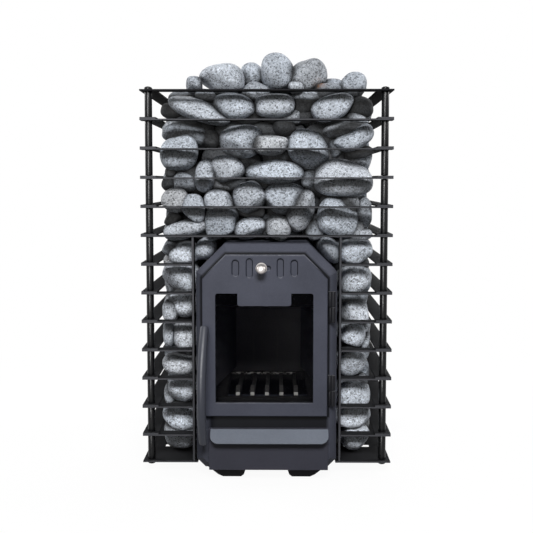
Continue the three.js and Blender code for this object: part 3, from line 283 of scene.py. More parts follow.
# granite: crystals by cell, dark mica, pale feldspar, a cloudy ground, scattered dark pits and a rust stain
def graniteGroup():
    tree, given, made = newGroup(
        "graniteGrain", [("Position", None), ("Tone", 0.5), ("Warmth", 0.5), ("Rust", 0.0001), ("Speckle", 0.8), ("Shade", 1.0)],
        ["Colour", "Height", "Roughness"])
    at = given["Position"]
    warp = addNode(tree, "ShaderNodeTexNoise", {"Vector": at, "Scale": 60.0, "Detail": 3.0}).outputs["Color"]
    bent = addNode(tree, "ShaderNodeVectorMath", {0: warp, 1: grey(0.004), 2: at}, operation="MULTIPLY_ADD").outputs[0]

    def cells(scale):
        seen = addNode(tree, "ShaderNodeTexVoronoi", {"Vector": bent, "Scale": scale})
        return addNode(tree, "ShaderNodeSeparateColor", {0: seen.outputs["Color"]}).outputs, seen.outputs["Distance"]

    crystal, _ = cells(380.0)
    fine, _ = cells(800.0)
    spot, spotReach = cells(120.0)
    cloud = noise(tree, at, 26.0, 6.0, 0.62)
    ground = ramp(tree, given["Tone"], [(0.0, (0.014, 0.015, 0.017)), (0.3, (0.16, 0.172, 0.188)), (0.6, (0.30, 0.321, 0.351)), (1.0, (0.58, 0.607, 0.65))])
    tint = ramp(tree, given["Warmth"], [(0.0, (0.93, 1.0, 1.07)), (0.45, (0.985, 1.0, 1.02)), (0.8, (1.01, 1.0, 0.985)), (1.0, (1.07, 0.99, 0.92))])
    mottled = scaled(tree, times(tree, ground, tint), remap(tree, cloud, 0.25, 0.75, 0.74, 1.24))
    grains = ramp(tree, crystal[0], [(0.0, grey(0.36)), (0.15, grey(0.52)), (0.24, grey(0.9)), (0.6, grey(1.05)), (0.8, grey(1.2)), (1.0, grey(1.38))])
    fineGrains = ramp(tree, fine[1], [(0.0, grey(0.6)), (0.16, grey(0.7)), (0.24, grey(0.96)), (0.8, grey(1.04)), (1.0, grey(1.16))])
    pitMask = calc(tree, "MULTIPLY", calc(tree, "LESS_THAN", spot[2], 0.10), remap(tree, spotReach, 0.12, 0.36, 1.0, 0.0))
    pits = remap(tree, pitMask, 0.0, 1.0, 1.0, 0.45)
    speck = mixed(tree, given["Speckle"], (1, 1, 1, 1), times(tree, grains, fineGrains))
    # Shade: painted shade carried in from each stone's points
    colour = scaled(tree, times(tree, mottled, speck), calc(tree, "MULTIPLY", pits, given["Shade"]))
    stain = calc(tree, "MULTIPLY", given["Rust"], remap(tree, noise(tree, at, 90.0), 0.35, 0.6))
    rough = remap(tree, crystal[1], 0.0, 1.0, 0.74, 0.95)
    bumps = calc(tree, "ADD", noise(tree, at, 190.0, 5.0, 0.7), cloud)
    tree.links.new(mixed(tree, stain, colour, (0.30, 0.115, 0.022, 1)), made["Colour"])
    tree.links.new(calc(tree, "MULTIPLY_ADD", pitMask, -0.8, bumps), made["Height"])
    tree.links.new(rough, made["Roughness"])
    return tree


# soot and ash: a dark ground, a pale layer where the noise is high or the face looks up
def ashGroup():
    tree, given, made = newGroup(
        "ashFilm", [("Position", None), ("Ground", (0.01, 0.01, 0.01, 1)), ("Ash", (0.4, 0.39, 0.37, 1)), ("Cover", 0.3), ("Lying", 0.5)],
        ["Colour", "Height", "Roughness"])
    at = given["Position"]
    patch = remap(tree, noise(tree, at, 38.0, 6.0, 0.65), 0.35, 0.7)
    normal = addNode(tree, "ShaderNodeNewGeometry").outputs["Normal"]
    upward = addNode(tree, "ShaderNodeSeparateXYZ", {0: normal}).outputs["Z"]
    lying = calc(tree, "MULTIPLY", remap(tree, upward, 0.3, 0.9), given["Lying"])
    cover = addNode(tree, "ShaderNodeMath", {0: calc(tree, "MULTIPLY_ADD", patch, given["Cover"], lying), 1: 1.0}, operation="MINIMUM").outputs[0]
    grain = noise(tree, at, 420.0, 4.0, 0.7)
    tree.links.new(scaled(tree, mixed(tree, cover, given["Ground"], given["Ash"]), remap(tree, grain, 0.2, 0.8, 0.75, 1.25)), made["Colour"])
    tree.links.new(calc(tree, "ADD", grain, patch), made["Height"])
    tree.links.new(remap(tree, grain, 0.0, 1.0, 0.7, 1.0), made["Roughness"])
    return tree


sprayPaint, graniteGrain, ashFilm = sprayPaintGroup(), graniteGroup(), ashGroup()


def groupMaterial(name, group, values, heightSocket, bumpSize, specular, metallic=0.0):
    material, tree, shader = newMaterial(name)
    where = addNode(tree, "ShaderNodeTexCoord")
    coat = addNode(tree, "ShaderNodeGroup", node_tree=group)
    tree.links.new(where.outputs["Object"], coat.inputs["Position"])
    for key, value in values.items():
        coat.inputs[key].default_value = (*value, 1) if isinstance(value, tuple) else value
    bump = addNode(tree, "ShaderNodeBump", {"Height": coat.outputs[heightSocket], "Strength": 0.6, "Distance": bumpSize})
    tree.links.new(coat.outputs["Colour"], shader.inputs["Base Color"])
    tree.links.new(coat.outputs["Roughness"], shader.inputs["Roughness"])
    tree.links.new(bump.outputs[0], shader.inputs["Normal"])
    shader.inputs["Specular IOR Level"].default_value = specular
    shader.inputs["Metallic"].default_value = metallic
    return material, tree, coat, shader


paints = {  # paint colour, heat fading, dust, gloss, and how strongly it mirrors
    # in each paint, Turned and Tops give painted shade on faces turned from the front and on faces looking up; the
    # door's dust is also a painted highlight
    "bar": dict(Paint=(0.058, 0.059, 0.066), Fading=0.25, DustAndSheen=0.02, Gloss=0.5, mirror=0.05, TurnedShade=0.93, TopShade=0.85),
    # the top frame's paint: the bar paint made much darker, painted shade for the shadow the top frame lies in
    "top": dict(Paint=(0.009, 0.009, 0.011), Fading=0.25, DustAndSheen=0.02, Gloss=0.5, mirror=0.03, TurnedShade=0.93, TopShade=0.85),
    "post": dict(Paint=(0.004, 0.0041, 0.0047), Fading=0.2, DustAndSheen=0.01, Gloss=0.3, mirror=0.17),
    "firebox": dict(Paint=(0.068, 0.072, 0.095), Fading=0.2, DustAndSheen=0.07, Gloss=0.46, mirror=0.04),
    # the door's high dust is also a painted highlight along its up-facing edges
    "door": dict(Paint=(0.061, 0.065, 0.087), Fading=0.28, DustAndSheen=0.5, Gloss=0.44, mirror=0.04, TurnedShade=0.95),
    # the drawer front's paint, darker than the door's: painted shade for the shadow that the lip and the door cast on
    # it
    "drawer": dict(Paint=(0.041, 0.0415, 0.055), Fading=0.2, DustAndSheen=0.04, Gloss=0.44, mirror=0.04),
    # the lip's paint, about twice as pale as the door's: painted light for the light that its upward slope catches
    "lip": dict(Paint=(0.126, 0.142, 0.174), Fading=0.22, DustAndSheen=0.06, Gloss=0.42, mirror=0.1),
    "handle": dict(Paint=(0.034, 0.037, 0.050), Fading=0.12, DustAndSheen=0.03, Gloss=0.42, mirror=0.27),
    "foot": dict(Paint=(0.010, 0.010, 0.012), Fading=0.2, DustAndSheen=0.02, Gloss=0.6, mirror=0.06),
    "hinge": dict(Paint=(0.012, 0.0122, 0.015), Fading=0.1, DustAndSheen=0.3, Gloss=0.42, mirror=0.06),
}


def paintMaterial(key):
    values = dict(paints[key])
    mirror = values.pop("mirror")
    return groupMaterial(key + "Paint", sprayPaint, values, "Grain", 0.00012, mirror)[0]


barPaint, topPaint, postPaint, fireboxPaint, doorPaint, drawerPaint, lipPaint, handlePaint, footPaint, hingePaint = (paintMaterial(key) for key in paints)

# where and how strongly the frame's paint is darkened as painted shade round the door and on the rail below it
shadeLine = dict(chamfer=43.5, reach=(2.5, 6.0), rail=(97.0, 101.0), depth=0.88, foot=(40.0, 150.0), flank=(116.0, 127.0), least=0.66)


def shadowedFrame():
    # the firebox paint, with painted shade along the door's outline and on the rail between door and drawer: the mask
    # falls with the distance outside the six lines of the outline, and the paint darkens towards the foot and the
    # flanks
    values = dict(paints["firebox"])
    material, tree, coat, shader = groupMaterial("shadowedFrame", sprayPaint, {k: v for k, v in values.items() if k != "mirror"}, "Grain", 0.00012,
                                                 values["mirror"])
    at = addNode(tree, "ShaderNodeSeparateXYZ", {0: addNode(tree, "ShaderNodeTexCoord").outputs["Object"]}).outputs
    low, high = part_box("door_panel")
    cut = shadeLine["chamfer"] * 0.001
    outside = calc(tree, "SUBTRACT", low[0], at["X"])
    for way in ((1, 0, high[0]), (0, -1, -low[2]), (0, 1, high[2]), (1, 1, high[0] + high[2] - cut), (-1, 1, high[2] - low[0] - cut)):
        reach = calc(tree, "MULTIPLY_ADD", at["X"], float(way[0]), calc(tree, "MULTIPLY", at["Z"], float(way[1])))
        away = calc(tree, "DIVIDE", calc(tree, "SUBTRACT", reach, float(way[2])), math.hypot(way[0], way[1]))
        outside = calc(tree, "MAXIMUM", outside, away)
    near, far = (r * 0.001 for r in shadeLine["reach"])
    beside = remap(tree, outside, near, far, 1.0, 0.0)
    drawerLow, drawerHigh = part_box("drawer_front")
    across = calc(tree, "MULTIPLY", remap(tree, at["X"], drawerLow[0] - 0.004, drawerLow[0] + 0.004), remap(tree, at["X"], drawerHigh[0] - 0.004, drawerHigh[0] + 0.004, 1.0, 0.0))
    # painted shadow on the rail under the door's lower edge
    rail = calc(tree, "MULTIPLY", remap(tree, at["Z"], *(r * 0.001 for r in shadeLine["rail"])), calc(tree, "LESS_THAN", at["Z"], low[2] + 0.002))
    paintedShade = calc(tree, "MAXIMUM", beside, calc(tree, "MULTIPLY", rail, across))
    kept = calc(tree, "SUBTRACT", 1.0, calc(tree, "MULTIPLY", paintedShade, shadeLine["depth"]))
    foot = remap(tree, at["Z"], *(z * 0.001 for z in shadeLine["foot"]), shadeLine["least"], 1.0)
    flank = remap(tree, calc(tree, "ABSOLUTE", at["X"]), *(x * 0.001 for x in shadeLine["flank"]), 1.0, shadeLine["least"])
    kept = calc(tree, "MULTIPLY", kept, calc(tree, "MINIMUM", foot, flank))
    tree.links.new(scaled(tree, coat.outputs["Colour"], kept), shader.inputs["Base Color"])
    return material


framePaint = shadowedFrame()
sootySteel = groupMaterial("sootySteel", ashFilm, dict(Ground=(0.007, 0.007, 0.008), Ash=(0.05, 0.049, 0.047), Cover=0.12, Lying=0.2),
                           "Height", 0.0003, 0.1)[0]
fireclay = groupMaterial("fireclay", ashFilm, dict(Ground=(0.12, 0.12, 0.15), Ash=(0.18, 0.175, 0.18), Cover=0.3, Lying=0.2),
                         "Height", 0.0008, 0.1)[0]
ember = dict(tipFront=-179.0, tip=(141.6, 147.0), stub=0.07, tipAshHighlight=(0.9, 0.88, 0.84), line=(55.0, 62.0), lineX=(-72.0, 52.0), seams=(-33.0, 20.5), darkenHeights=(0.13, 0.23))


def emberBand(tree, value, low, high, soft):
    # one between low and high, falling to nothing within a soft width outside
    return calc(tree, "MULTIPLY", remap(tree, value, low - soft, low), remap(tree, value, high, high + soft, 1.0, 0.0))


def grateMaterial():
    # sooty cast iron, with white ash baked on the front ends of the fingers, painted near white as a highlight for the
    # light that falls on them through the glass
    material, tree, coat, shader = groupMaterial(
        "grateIron", ashFilm, dict(Ground=(0.012, 0.012, 0.013), Ash=(0.2, 0.19, 0.175), Cover=0.08, Lying=0.05), "Height", 0.0006, 0.1)
    where = addNode(tree, "ShaderNodeTexCoord").outputs["Object"]
    at = addNode(tree, "ShaderNodeSeparateXYZ", {0: where}).outputs
    # painted highlight: the front ends of the fingers are painted as near-white ash
    front = calc(tree, "LESS_THAN", at["Y"], float(place((0, ember["tipFront"], 0))[1]))
    tips = calc(tree, "MULTIPLY", front, emberBand(tree, at["Z"], ember["tip"][0] * 0.001, ember["tip"][1] * 0.001, 0.0008))
    patchy = calc(tree, "MULTIPLY", tips, remap(tree, noise(tree, where, 160.0, 3.0), 0.25, 0.5, 0.55, 1.0))
    raised = calc(tree, "MULTIPLY", calc(tree, "GREATER_THAN", at["Z"], ember["tip"][1] * 0.001), ember["stub"])
    rows = [float(place((0, y, 0))[1]) for y in ember["line"]]
    rear = calc(tree, "MULTIPLY", emberBand(tree, at["Y"], *rows, 0.001), remap(tree, at["Z"], 0.134, 0.137))
    width = emberBand(tree, at["X"], *(x * 0.001 for x in ember["lineX"]), 0.01)
    crumbs = remap(tree, noise(tree, times(tree, where, (130.0, 200.0, 200.0)), 1.0, 3.0), 0.44, 0.54)
    line = calc(tree, "MULTIPLY", calc(tree, "MULTIPLY", rear, width), crumbs)
    ash = calc(tree, "MAXIMUM", calc(tree, "MAXIMUM", patchy, raised), line)
    tree.links.new(mixed(tree, ash, coat.outputs["Colour"], (*ember["tipAshHighlight"], 1)), shader.inputs["Base Color"])
    return material


def backLinerMaterial():
    # paler fireclay, darker towards the bottom, with two faint upright seams
    material, tree, coat, shader = groupMaterial(
        "backFireclay", ashFilm, dict(Ground=(0.78, 0.75, 0.80), Ash=(0.8, 0.77, 0.76), Cover=0.3, Lying=0.2), "Height", 0.0008, 0.1)
    where = addNode(tree, "ShaderNodeTexCoord").outputs["Object"]
    at = addNode(tree, "ShaderNodeSeparateXYZ", {0: where}).outputs
    seam = calc(tree, "MAXIMUM", *(emberBand(tree, at["X"], x * 0.001 - 0.001, x * 0.001 + 0.001, 0.002) for x in ember["seams"]))
    seam = calc(tree, "MULTIPLY", calc(tree, "MULTIPLY", seam, emberBand(tree, at["Z"], 0.165, 0.21, 0.02)), 0.22)
    darkenedLow = scaled(tree, coat.outputs["Colour"], remap(tree, at["Z"], *ember["darkenHeights"], 0.6, 1.0))
    tree.links.new(mixed(tree, seam, darkenedLow, (1.0, 0.92, 0.92, 1)), shader.inputs["Base Color"])
    return material


castIron, backFireclay = grateMaterial(), backLinerMaterial()


def stoneMaterial():
    material, tree, coat, shader = groupMaterial("riverGranite", graniteGrain, dict(Speckle=1.0), "Height", 0.0014, 0.3)
    for socketName in ("Tone", "Warmth", "Rust", "Shade"):
        own = addNode(tree, "ShaderNodeAttribute", attribute_name="stone" + socketName)
        tree.links.new(own.outputs["Fac"], coat.inputs[socketName])
    return material


def polishedMaterial(name, colour, roughness):
    # bright turned steel with fine brushing: roughness and bump from a stretched noise
    material, tree, shader = newMaterial(name)
    where = addNode(tree, "ShaderNodeTexCoord").outputs["Object"]
    fine = noise(tree, times(tree, where, (400.0, 400.0, 2600.0)), 1.0, 2.0)
    smudge = noise(tree, where, 120.0, 4.0)
    both = calc(tree, "MULTIPLY_ADD", remap(tree, fine, 0.3, 0.7, -0.03, 0.05), 1.0, remap(tree, smudge, 0.3, 0.7, roughness, roughness + 0.1))
    tree.links.new(both, shader.inputs["Roughness"])
    tree.links.new(mixed(tree, remap(tree, smudge, 0.4, 0.8, 0.0, 0.35), (*colour, 1), (*(0.7 * c for c in colour), 1)), shader.inputs["Base Color"])
    bump = addNode(tree, "ShaderNodeBump", {"Height": fine, "Strength": 0.3, "Distance": 0.00002})
    tree.links.new(bump.outputs[0], shader.inputs["Normal"])
    shader.inputs["Metallic"].default_value = 1.0
    return material


pane = dict(low=149.5, high=351.5, halfWidth=89.3, middle=-3.7, clearAlpha=0.2, sootAlpha=0.5, mirror=0.03)


def glassMaterial():
    # dark pane: see-through in the middle, with a soot film that thickens towards its edges in cloudy patches
    material, tree, shader = newMaterial("paneGlass")
    where = addNode(tree, "ShaderNodeTexCoord").outputs["Object"]
    part = addNode(tree, "ShaderNodeSeparateXYZ", {0: where}).outputs
    middle = place((pane["middle"], 0, (pane["low"] + pane["high"]) / 2))
    across = calc(tree, "ABSOLUTE", calc(tree, "SUBTRACT", part["X"], float(middle[0])))
    upright = calc(tree, "ABSOLUTE", calc(tree, "SUBTRACT", part["Z"], float(middle[2])))
    nearSide = remap(tree, across, pane["halfWidth"] * 0.00062, pane["halfWidth"] * 0.001)
    nearEnd = remap(tree, upright, (pane["high"] - pane["low"]) * 0.00034, (pane["high"] - pane["low"]) * 0.0005)
    edge = calc(tree, "MAXIMUM", nearSide, nearEnd)
    film = calc(tree, "MULTIPLY", edge, remap(tree, noise(tree, where, 22.0, 5.0), 0.3, 0.7))
    tree.links.new(remap(tree, film, 0.0, 1.0, pane["clearAlpha"], pane["sootAlpha"]), shader.inputs["Alpha"])
    tree.links.new(remap(tree, film, 0.0, 1.0, 0.04, 0.08), shader.inputs["Roughness"])
    tree.links.new(mixed(tree, film, (0.0018, 0.0018, 0.0032, 1), (0.0024, 0.0024, 0.0036, 1)), shader.inputs["Base Color"])
    shader.inputs["Specular IOR Level"].default_value = pane["mirror"]
    return material


def ropeMaterial():
    # braided glass rope: two sets of slanting strands, from the piece's own length and turn
    material, tree, shader = newMaterial("ropeSeal")
    along = addNode(tree, "ShaderNodeAttribute", attribute_name="ropeLength").outputs["Fac"]
    turn = addNode(tree, "ShaderNodeAttribute", attribute_name="ropeTurn").outputs["Fac"]
    there = calc(tree, "SINE", calc(tree, "MULTIPLY_ADD", along, 2600.0, turn))
    andBack = calc(tree, "SINE", calc(tree, "MULTIPLY_ADD", along, 2600.0, calc(tree, "MULTIPLY", turn, -1.0)))
    strand = remap(tree, calc(tree, "MAXIMUM", there, andBack), -1.0, 1.0)
    where = addNode(tree, "ShaderNodeTexCoord").outputs["Object"]
    fuzz = remap(tree, noise(tree, where, 900.0, 3.0), 0.3, 0.7, 0.8, 1.15)
    tree.links.new(scaled(tree, mixed(tree, strand, (0.03, 0.029, 0.027, 1), (0.12, 0.115, 0.105, 1)), fuzz), shader.inputs["Base Color"])
    bump = addNode(tree, "ShaderNodeBump", {"Height": strand, "Strength": 0.8, "Distance": 0.0004})
    tree.links.new(bump.outputs[0], shader.inputs["Normal"])
    shader.inputs["Roughness"].default_value = 0.95
    return material


granite = stoneMaterial()
polished = polishedMaterial("polishedSteel", (0.5, 0.47, 0.455), 0.36)
paneGlass = glassMaterial()
ropeSeal = ropeMaterial()
print("finishes ready")


# stones
face = 204.4  # from the cage's middle to the inner edges of the bars
# how strongly the stones carry painted shade: near the next stone, deep behind the bars or the side, and under each bar
paintedShade = dict(darkest=0.1, reach=0.34, deepest=0.1, depths=(18.0, 70.0), sideDepths=(12.0, 40.0), bars=(74.0, 54.0), under=0.25, underReach=11.0)


def stonePile(name, table, low, high, seed, nodeName, cells, leanAxis=0, flat=None, dents=(), rust=None, cap=0, sunk=None, sideways=False):
    # radius along a direction d: (sum |d|^p)^(-1/p) for a plump ball, fuller on one side by a share of d.n, pressed
    # in by a few planes with a soft minimum, one of them the flat side against the bars, plus low waves
    # a*sin(k d.n + phase), less a bell-shaped dent; then stretched to size, leaned along one way, tipped a little,
    # and kept in limits; painted shade darkens each stone where the next stone is near, by its ellipsoid's radius, with
    # depth in from the bars or the side, in a band close under each bar, on the top cap of a column stone, and low near
    # the top frame
    rng = np.random.default_rng(seed)
    table = np.asarray(table, float)
    count = len(table)
    ball, cellFaces = unitBall(cells)

    def ways(number):
        some = rng.normal(size=(count, number, 3))
        return some / np.linalg.norm(some, axis=2, keepdims=True)

    power = rng.uniform(2.0, 2.6, (count, 1))
    radius = (np.abs(ball)[None] ** power[..., None]).sum(-1) ** (-1 / power)
    radius = radius * (1 + rng.uniform(0.0, 0.16, (count, 1)) * (ways(1) @ ball.T)[:, 0])
    sides, depths = ways(6), rng.uniform(0.66, 1.02, (count, 6, 1))
    if flat:
        sides[:, 0] = np.asarray(flat) + rng.normal(0, 0.12, (count, 3))
        depths[:, 0] = rng.uniform(0.8, 0.95, (count, 1))
    pressed = np.clip(sides @ ball.T, 0, None) / depths
    hardness = 11.0
    radius = (radius ** -hardness + (pressed ** hardness).sum(1)) ** (-1 / hardness)
    pitch = np.array([1.6, 2.0, 2.4, 3.1, 4.0, 5.2, 7.5])[None, :, None]
    swell = np.array([0.045, 0.04, 0.03, 0.02, 0.012, 0.008, 0.005])[None, :, None]
    radius = radius + (swell * np.sin(pitch * (ways(7) @ ball.T) + rng.uniform(0, 6.28, (count, 7, 1)))).sum(1)
    for index, towards, spread, deep in dents:
        away = 1 - ball @ (np.asarray(towards) / np.linalg.norm(towards))
        radius[index] -= deep * np.exp(-(away / spread) ** 2)
    shape = ball[None] * radius[..., None]
    middle = (shape.max(1, keepdims=True) + shape.min(1, keepdims=True)) / 2
    shape = (shape - middle) / (shape.max(1, keepdims=True) - middle) * table[:, None, 3:6] / 2
    lean = np.radians(table[:, 6])[:, None]
    tip = np.radians(rng.uniform(-9, 9, (count, 1)))
    along, across, z = shape[..., leanAxis], shape[..., 1 - leanAxis], shape[..., 2]
    along, z = along * np.cos(lean) + z * np.sin(lean), z * np.cos(lean) - along * np.sin(lean)
    across, z = across * np.cos(tip) - z * np.sin(tip), across * np.sin(tip) + z * np.cos(tip)
    shape = np.stack([along, across, z] if leanAxis == 0 else [across, along, z], -1)
    span = shape.max(1) - shape.min(1)
    shape *= np.minimum(1.0, (high - low) / span).min(1)[:, None, None]
    middle = np.maximum(table[:, :3], low - shape.min(1))
    middle = np.minimum(middle, high - shape.max(1))
    points = (shape + middle[:, None]).reshape(-1, 3)
    faces = (cellFaces[None] + (np.arange(count) * len(ball))[:, None, None]).reshape(-1, 4)
    piece = meshPiece(name, place(points), faces)
    half = (shape.max(1) - shape.min(1)) / 2
    heart = middle + (shape.max(1) + shape.min(1)) / 2
    near = np.linalg.norm((points[:, None] - heart) / half, axis=2)
    near[np.arange(len(points)), np.repeat(np.arange(count), len(ball))] = 9.0
    shade = paintedShade["darkest"] + (1 - paintedShade["darkest"]) * np.clip((near.min(1) - 1) / paintedShade["reach"], 0, 1)
    if flat or sideways:
        depth = face - np.abs(points[:, :1 if sideways else 2]).max(1)  # in from the nearest side of the cage
        near, far = paintedShade["sideDepths"] if sideways else paintedShade["depths"]
        shade *= paintedShade["deepest"] + (1 - paintedShade["deepest"]) * np.clip(1 - (depth - near) / (far - near), 0, 1)
    # painted shadow in a band under each bar
    if flat and not cap:
        below = (paintedShade["bars"][0] - points[:, 2]) % paintedShade["bars"][1]  # down from the bar above
        shade *= paintedShade["under"] + (1 - paintedShade["under"]) * np.clip(below / paintedShade["underReach"], 0, 1)
    # painted shade low down, where the heap meets the top frame
    if sunk:
        shade *= paintedShade["deepest"] + (1 - paintedShade["deepest"]) * np.clip((points[:, 2] - sunk[0]) / (sunk[1] - sunk[0]), 0, 1)
    # painted shade on the top of a column stone, under the bar above
    if cap:
        share = (shape[:, :, 2].max(1, keepdims=True) - shape[:, :, 2]) / (2 * half[:, 2:])
        shade *= paintedShade["deepest"] + (1 - paintedShade["deepest"]) * np.clip(share / cap - 0.4, 0, 1).ravel()
    own = {"stoneTone": np.repeat(table[:, 7], len(ball)), "stoneWarmth": np.repeat(table[:, 8], len(ball)), "stoneShade": shade}
    if rust:
        away = np.linalg.norm(points - np.asarray(rust["spot"]), axis=1)
        own["stoneRust"] = np.exp(-(away / rust["reach"]) ** 2)
    for key, values in own.items():
        piece.data.attributes.new(key, "FLOAT", "POINT").data.foreach_set("value", values.astype(np.float32))
    return standFor(piece, "stove", "granite", granite, nodeName)


def courses(low, high, alongAxis, pitch, seed, tones):
    # stones in rough courses: column and course number times the pitch, every other course set over by half,
    # each moved and sized a little at random
    rng = np.random.default_rng(seed)
    columns = max(1, round((high[alongAxis] - low[alongAxis]) / pitch[0]))
    rows = max(1, round((high[2] - low[2]) / pitch[1]))
    row, column = (g.ravel() for g in np.meshgrid(np.arange(rows), np.arange(columns), indexing="ij"))
    count = len(row)
    stepA = (high[alongAxis] - low[alongAxis]) / columns
    stepZ = (high[2] - low[2]) / rows
    table = np.zeros((count, 9))
    table[:, alongAxis] = low[alongAxis] + stepA * (column + 0.5 + np.where(row % 2, 0.22, -0.22) + rng.uniform(-0.14, 0.14, count))
    table[:, 1 - alongAxis] = (low[1 - alongAxis] + high[1 - alongAxis]) / 2
    table[:, 2] = low[2] + stepZ * (row + 0.5 + rng.uniform(-0.12, 0.12, count))
    table[:, 3 + alongAxis] = stepA * rng.uniform(0.95, 1.3, count)
    table[:, 4 - alongAxis] = (high[1 - alongAxis] - low[1 - alongAxis]) * rng.uniform(0.8, 1.0, count)
    table[:, 5] = stepZ * rng.uniform(1.0, 1.35, count)
    table[:, 6] = rng.uniform(-14, 14, count)
    table[:, 7] = rng.uniform(*tones, count)
    table[:, 8] = rng.beta(1.6, 2.2, count)
    return table


def facing(rows, seed, share, depths, setBack=24.0):
    # stones behind the front bars: the depth follows the width and height, and the second row stands further back
    rows = np.asarray(rows, float)
    rng = np.random.default_rng(seed)
    depth = np.clip(share * (rows[:, 2] + rows[:, 3]) + rng.uniform(-4, 8, len(rows)), *depths)
    back = -204.0 + depth / 2 + rows[:, 5] * setBack + rng.uniform(0, 4, len(rows))
    # painted shade: a tone below 0.4 is cut to a tenth, for stones that lie in shadow
    tone = np.where(rows[:, 6] < 0.4, 0.1 * rows[:, 6], rows[:, 6])
    return np.column_stack([rows[:, 0], back, rows[:, 1], rows[:, 2], depth, rows[:, 3], rows[:, 4], tone, rows[:, 7]])


# across, height, width, height of stone, lean to the right, row, tone (a low tone is painted shade for a stone in
# shadow), warmth
frontStones = [
    (-190, 690, 46, 31, 0, 1, 0.25, 0.5), (-129, 691, 127, 42, 17, 0, 0.8, 0.45),
    (-117, 719, 43, 23, 10, 1, 0.75, 0.4), (-62, 698, 81, 50, 10, 0, 0.85, 0.3),
    (-21, 726, 54, 39, 8, 1, 0.75, 0.4), (15, 699, 77, 46, -4, 0, 0.8, 0.45), (86, 716, 85, 27, 0, 1, 0.8, 0.4),
    (75, 703, 58, 35, -20, 1, 0.3, 0.8), (125, 696, 84, 48, -20, 0, 0.85, 0.35), (48, 679, 43, 31, 0, 1, 0.7, 0.6),
    (184, 697, 50, 43, 10, 1, 0.15, 0.5), (173, 675, 43, 21, 6, 1, 0.75, 0.5),
    (-169, 646, 93, 54, 0, 1, 0.55, 0.4), (-170, 611, 73, 73, 5, 0, 0.8, 0.3),
    (-108, 637, 39, 39, 0, 1, 0.15, 0.5), (-49, 632, 84, 69, -10, 0, 0.8, 0.35), (4, 625, 73, 40, 3, 0, 0.85, 0.8),
    (33, 656, 46, 35, 0, 1, 0.3, 0.5), (79, 616, 81, 77, 4, 0, 0.8, 0.3), (150, 656, 89, 31, -10, 1, 0.8, 0.5),
    (183, 636, 81, 42, -30, 0, 0.75, 0.35), (133, 619, 31, 39, 0, 1, 0.6, 0.3),
    (181, 612, 54, 25, -8, 1, 0.3, 0.5), (-185, 574, 23, 23, 0, 1, 0.25, 0.4), (-118, 566, 40, 65, 5, 0, 0.8, 0.4),
    (-76, 579, 69, 54, 5, 0, 0.85, 0.45), (-97, 549, 70, 29, 6, 1, 0.45, 0.8), (14, 573, 115, 48, 3, 0, 0.9, 0.25),
    (146, 562, 115, 75, 0, 0, 0.85, 0.5), (83, 558, 35, 39, 20, 1, 0.6, 0.4), (-193, 552, 27, 31, 0, 1, 0.35, 0.4),
    (-158, 554, 50, 39, 5, 1, 0.6, 0.45), (-176, 520, 54, 48, 5, 0, 0.7, 0.85),
    (-140, 503, 44, 58, -12, 0, 0.75, 0.35), (-92, 518, 59, 46, 5, 0, 0.85, 0.4),
    (-33, 526, 65, 65, 0, 0, 0.75, 0.45), (-31, 495, 54, 31, 0, 1, 0.35, 0.7), (35, 522, 88, 63, 0, 0, 0.7, 0.35),
    (67, 499, 50, 84, 24, 0, 0.75, 0.6), (136, 488, 81, 77, 8, 0, 0.8, 0.3), (158, 510, 46, 39, 0, 1, 0.7, 0.6),
    (191, 495, 35, 66, 0, 1, 0.6, 0.5), (-182, 483, 35, 27, 0, 1, 0.2, 0.5),
    (-154, 461, 92, 38, -12, 0, 0.85, 0.5), (-86, 470, 65, 69, 0, 0, 0.6, 0.35),
    (-32, 466, 65, 42, -8, 0, 0.85, 0.35), (2, 464, 23, 39, 0, 1, 0.6, 0.4), (21, 464, 52, 50, 0, 0, 0.8, 0.7),
    (93, 452, 39, 43, 0, 1, 0.65, 0.35), (192, 454, 50, 23, 0, 1, 0.8, 0.5), (-173, 454, 50, 27, 0, 1, 0.35, 0.5)]
shelfTop, pileTop = limits("firebox_body")[1][2] + 0.5, limits("stones_front")[1][2]
stonePile("frontStones", facing(frontStones, 5, 0.45, (30, 80)), np.array([-face, -face, shelfTop]), np.array([face, -100, pileTop + 36]), 11,
          "stones_front", 14, flat=(0, -1, 0.1))
low, high = np.array([-face, -172, shelfTop]), np.array([face, -96, pileTop])
stonePile("deeperStones", courses(low, high, 0, (60, 46), 71, (0.6, 0.85)), low, high, 72, "stones_front", 9, sideways=True)

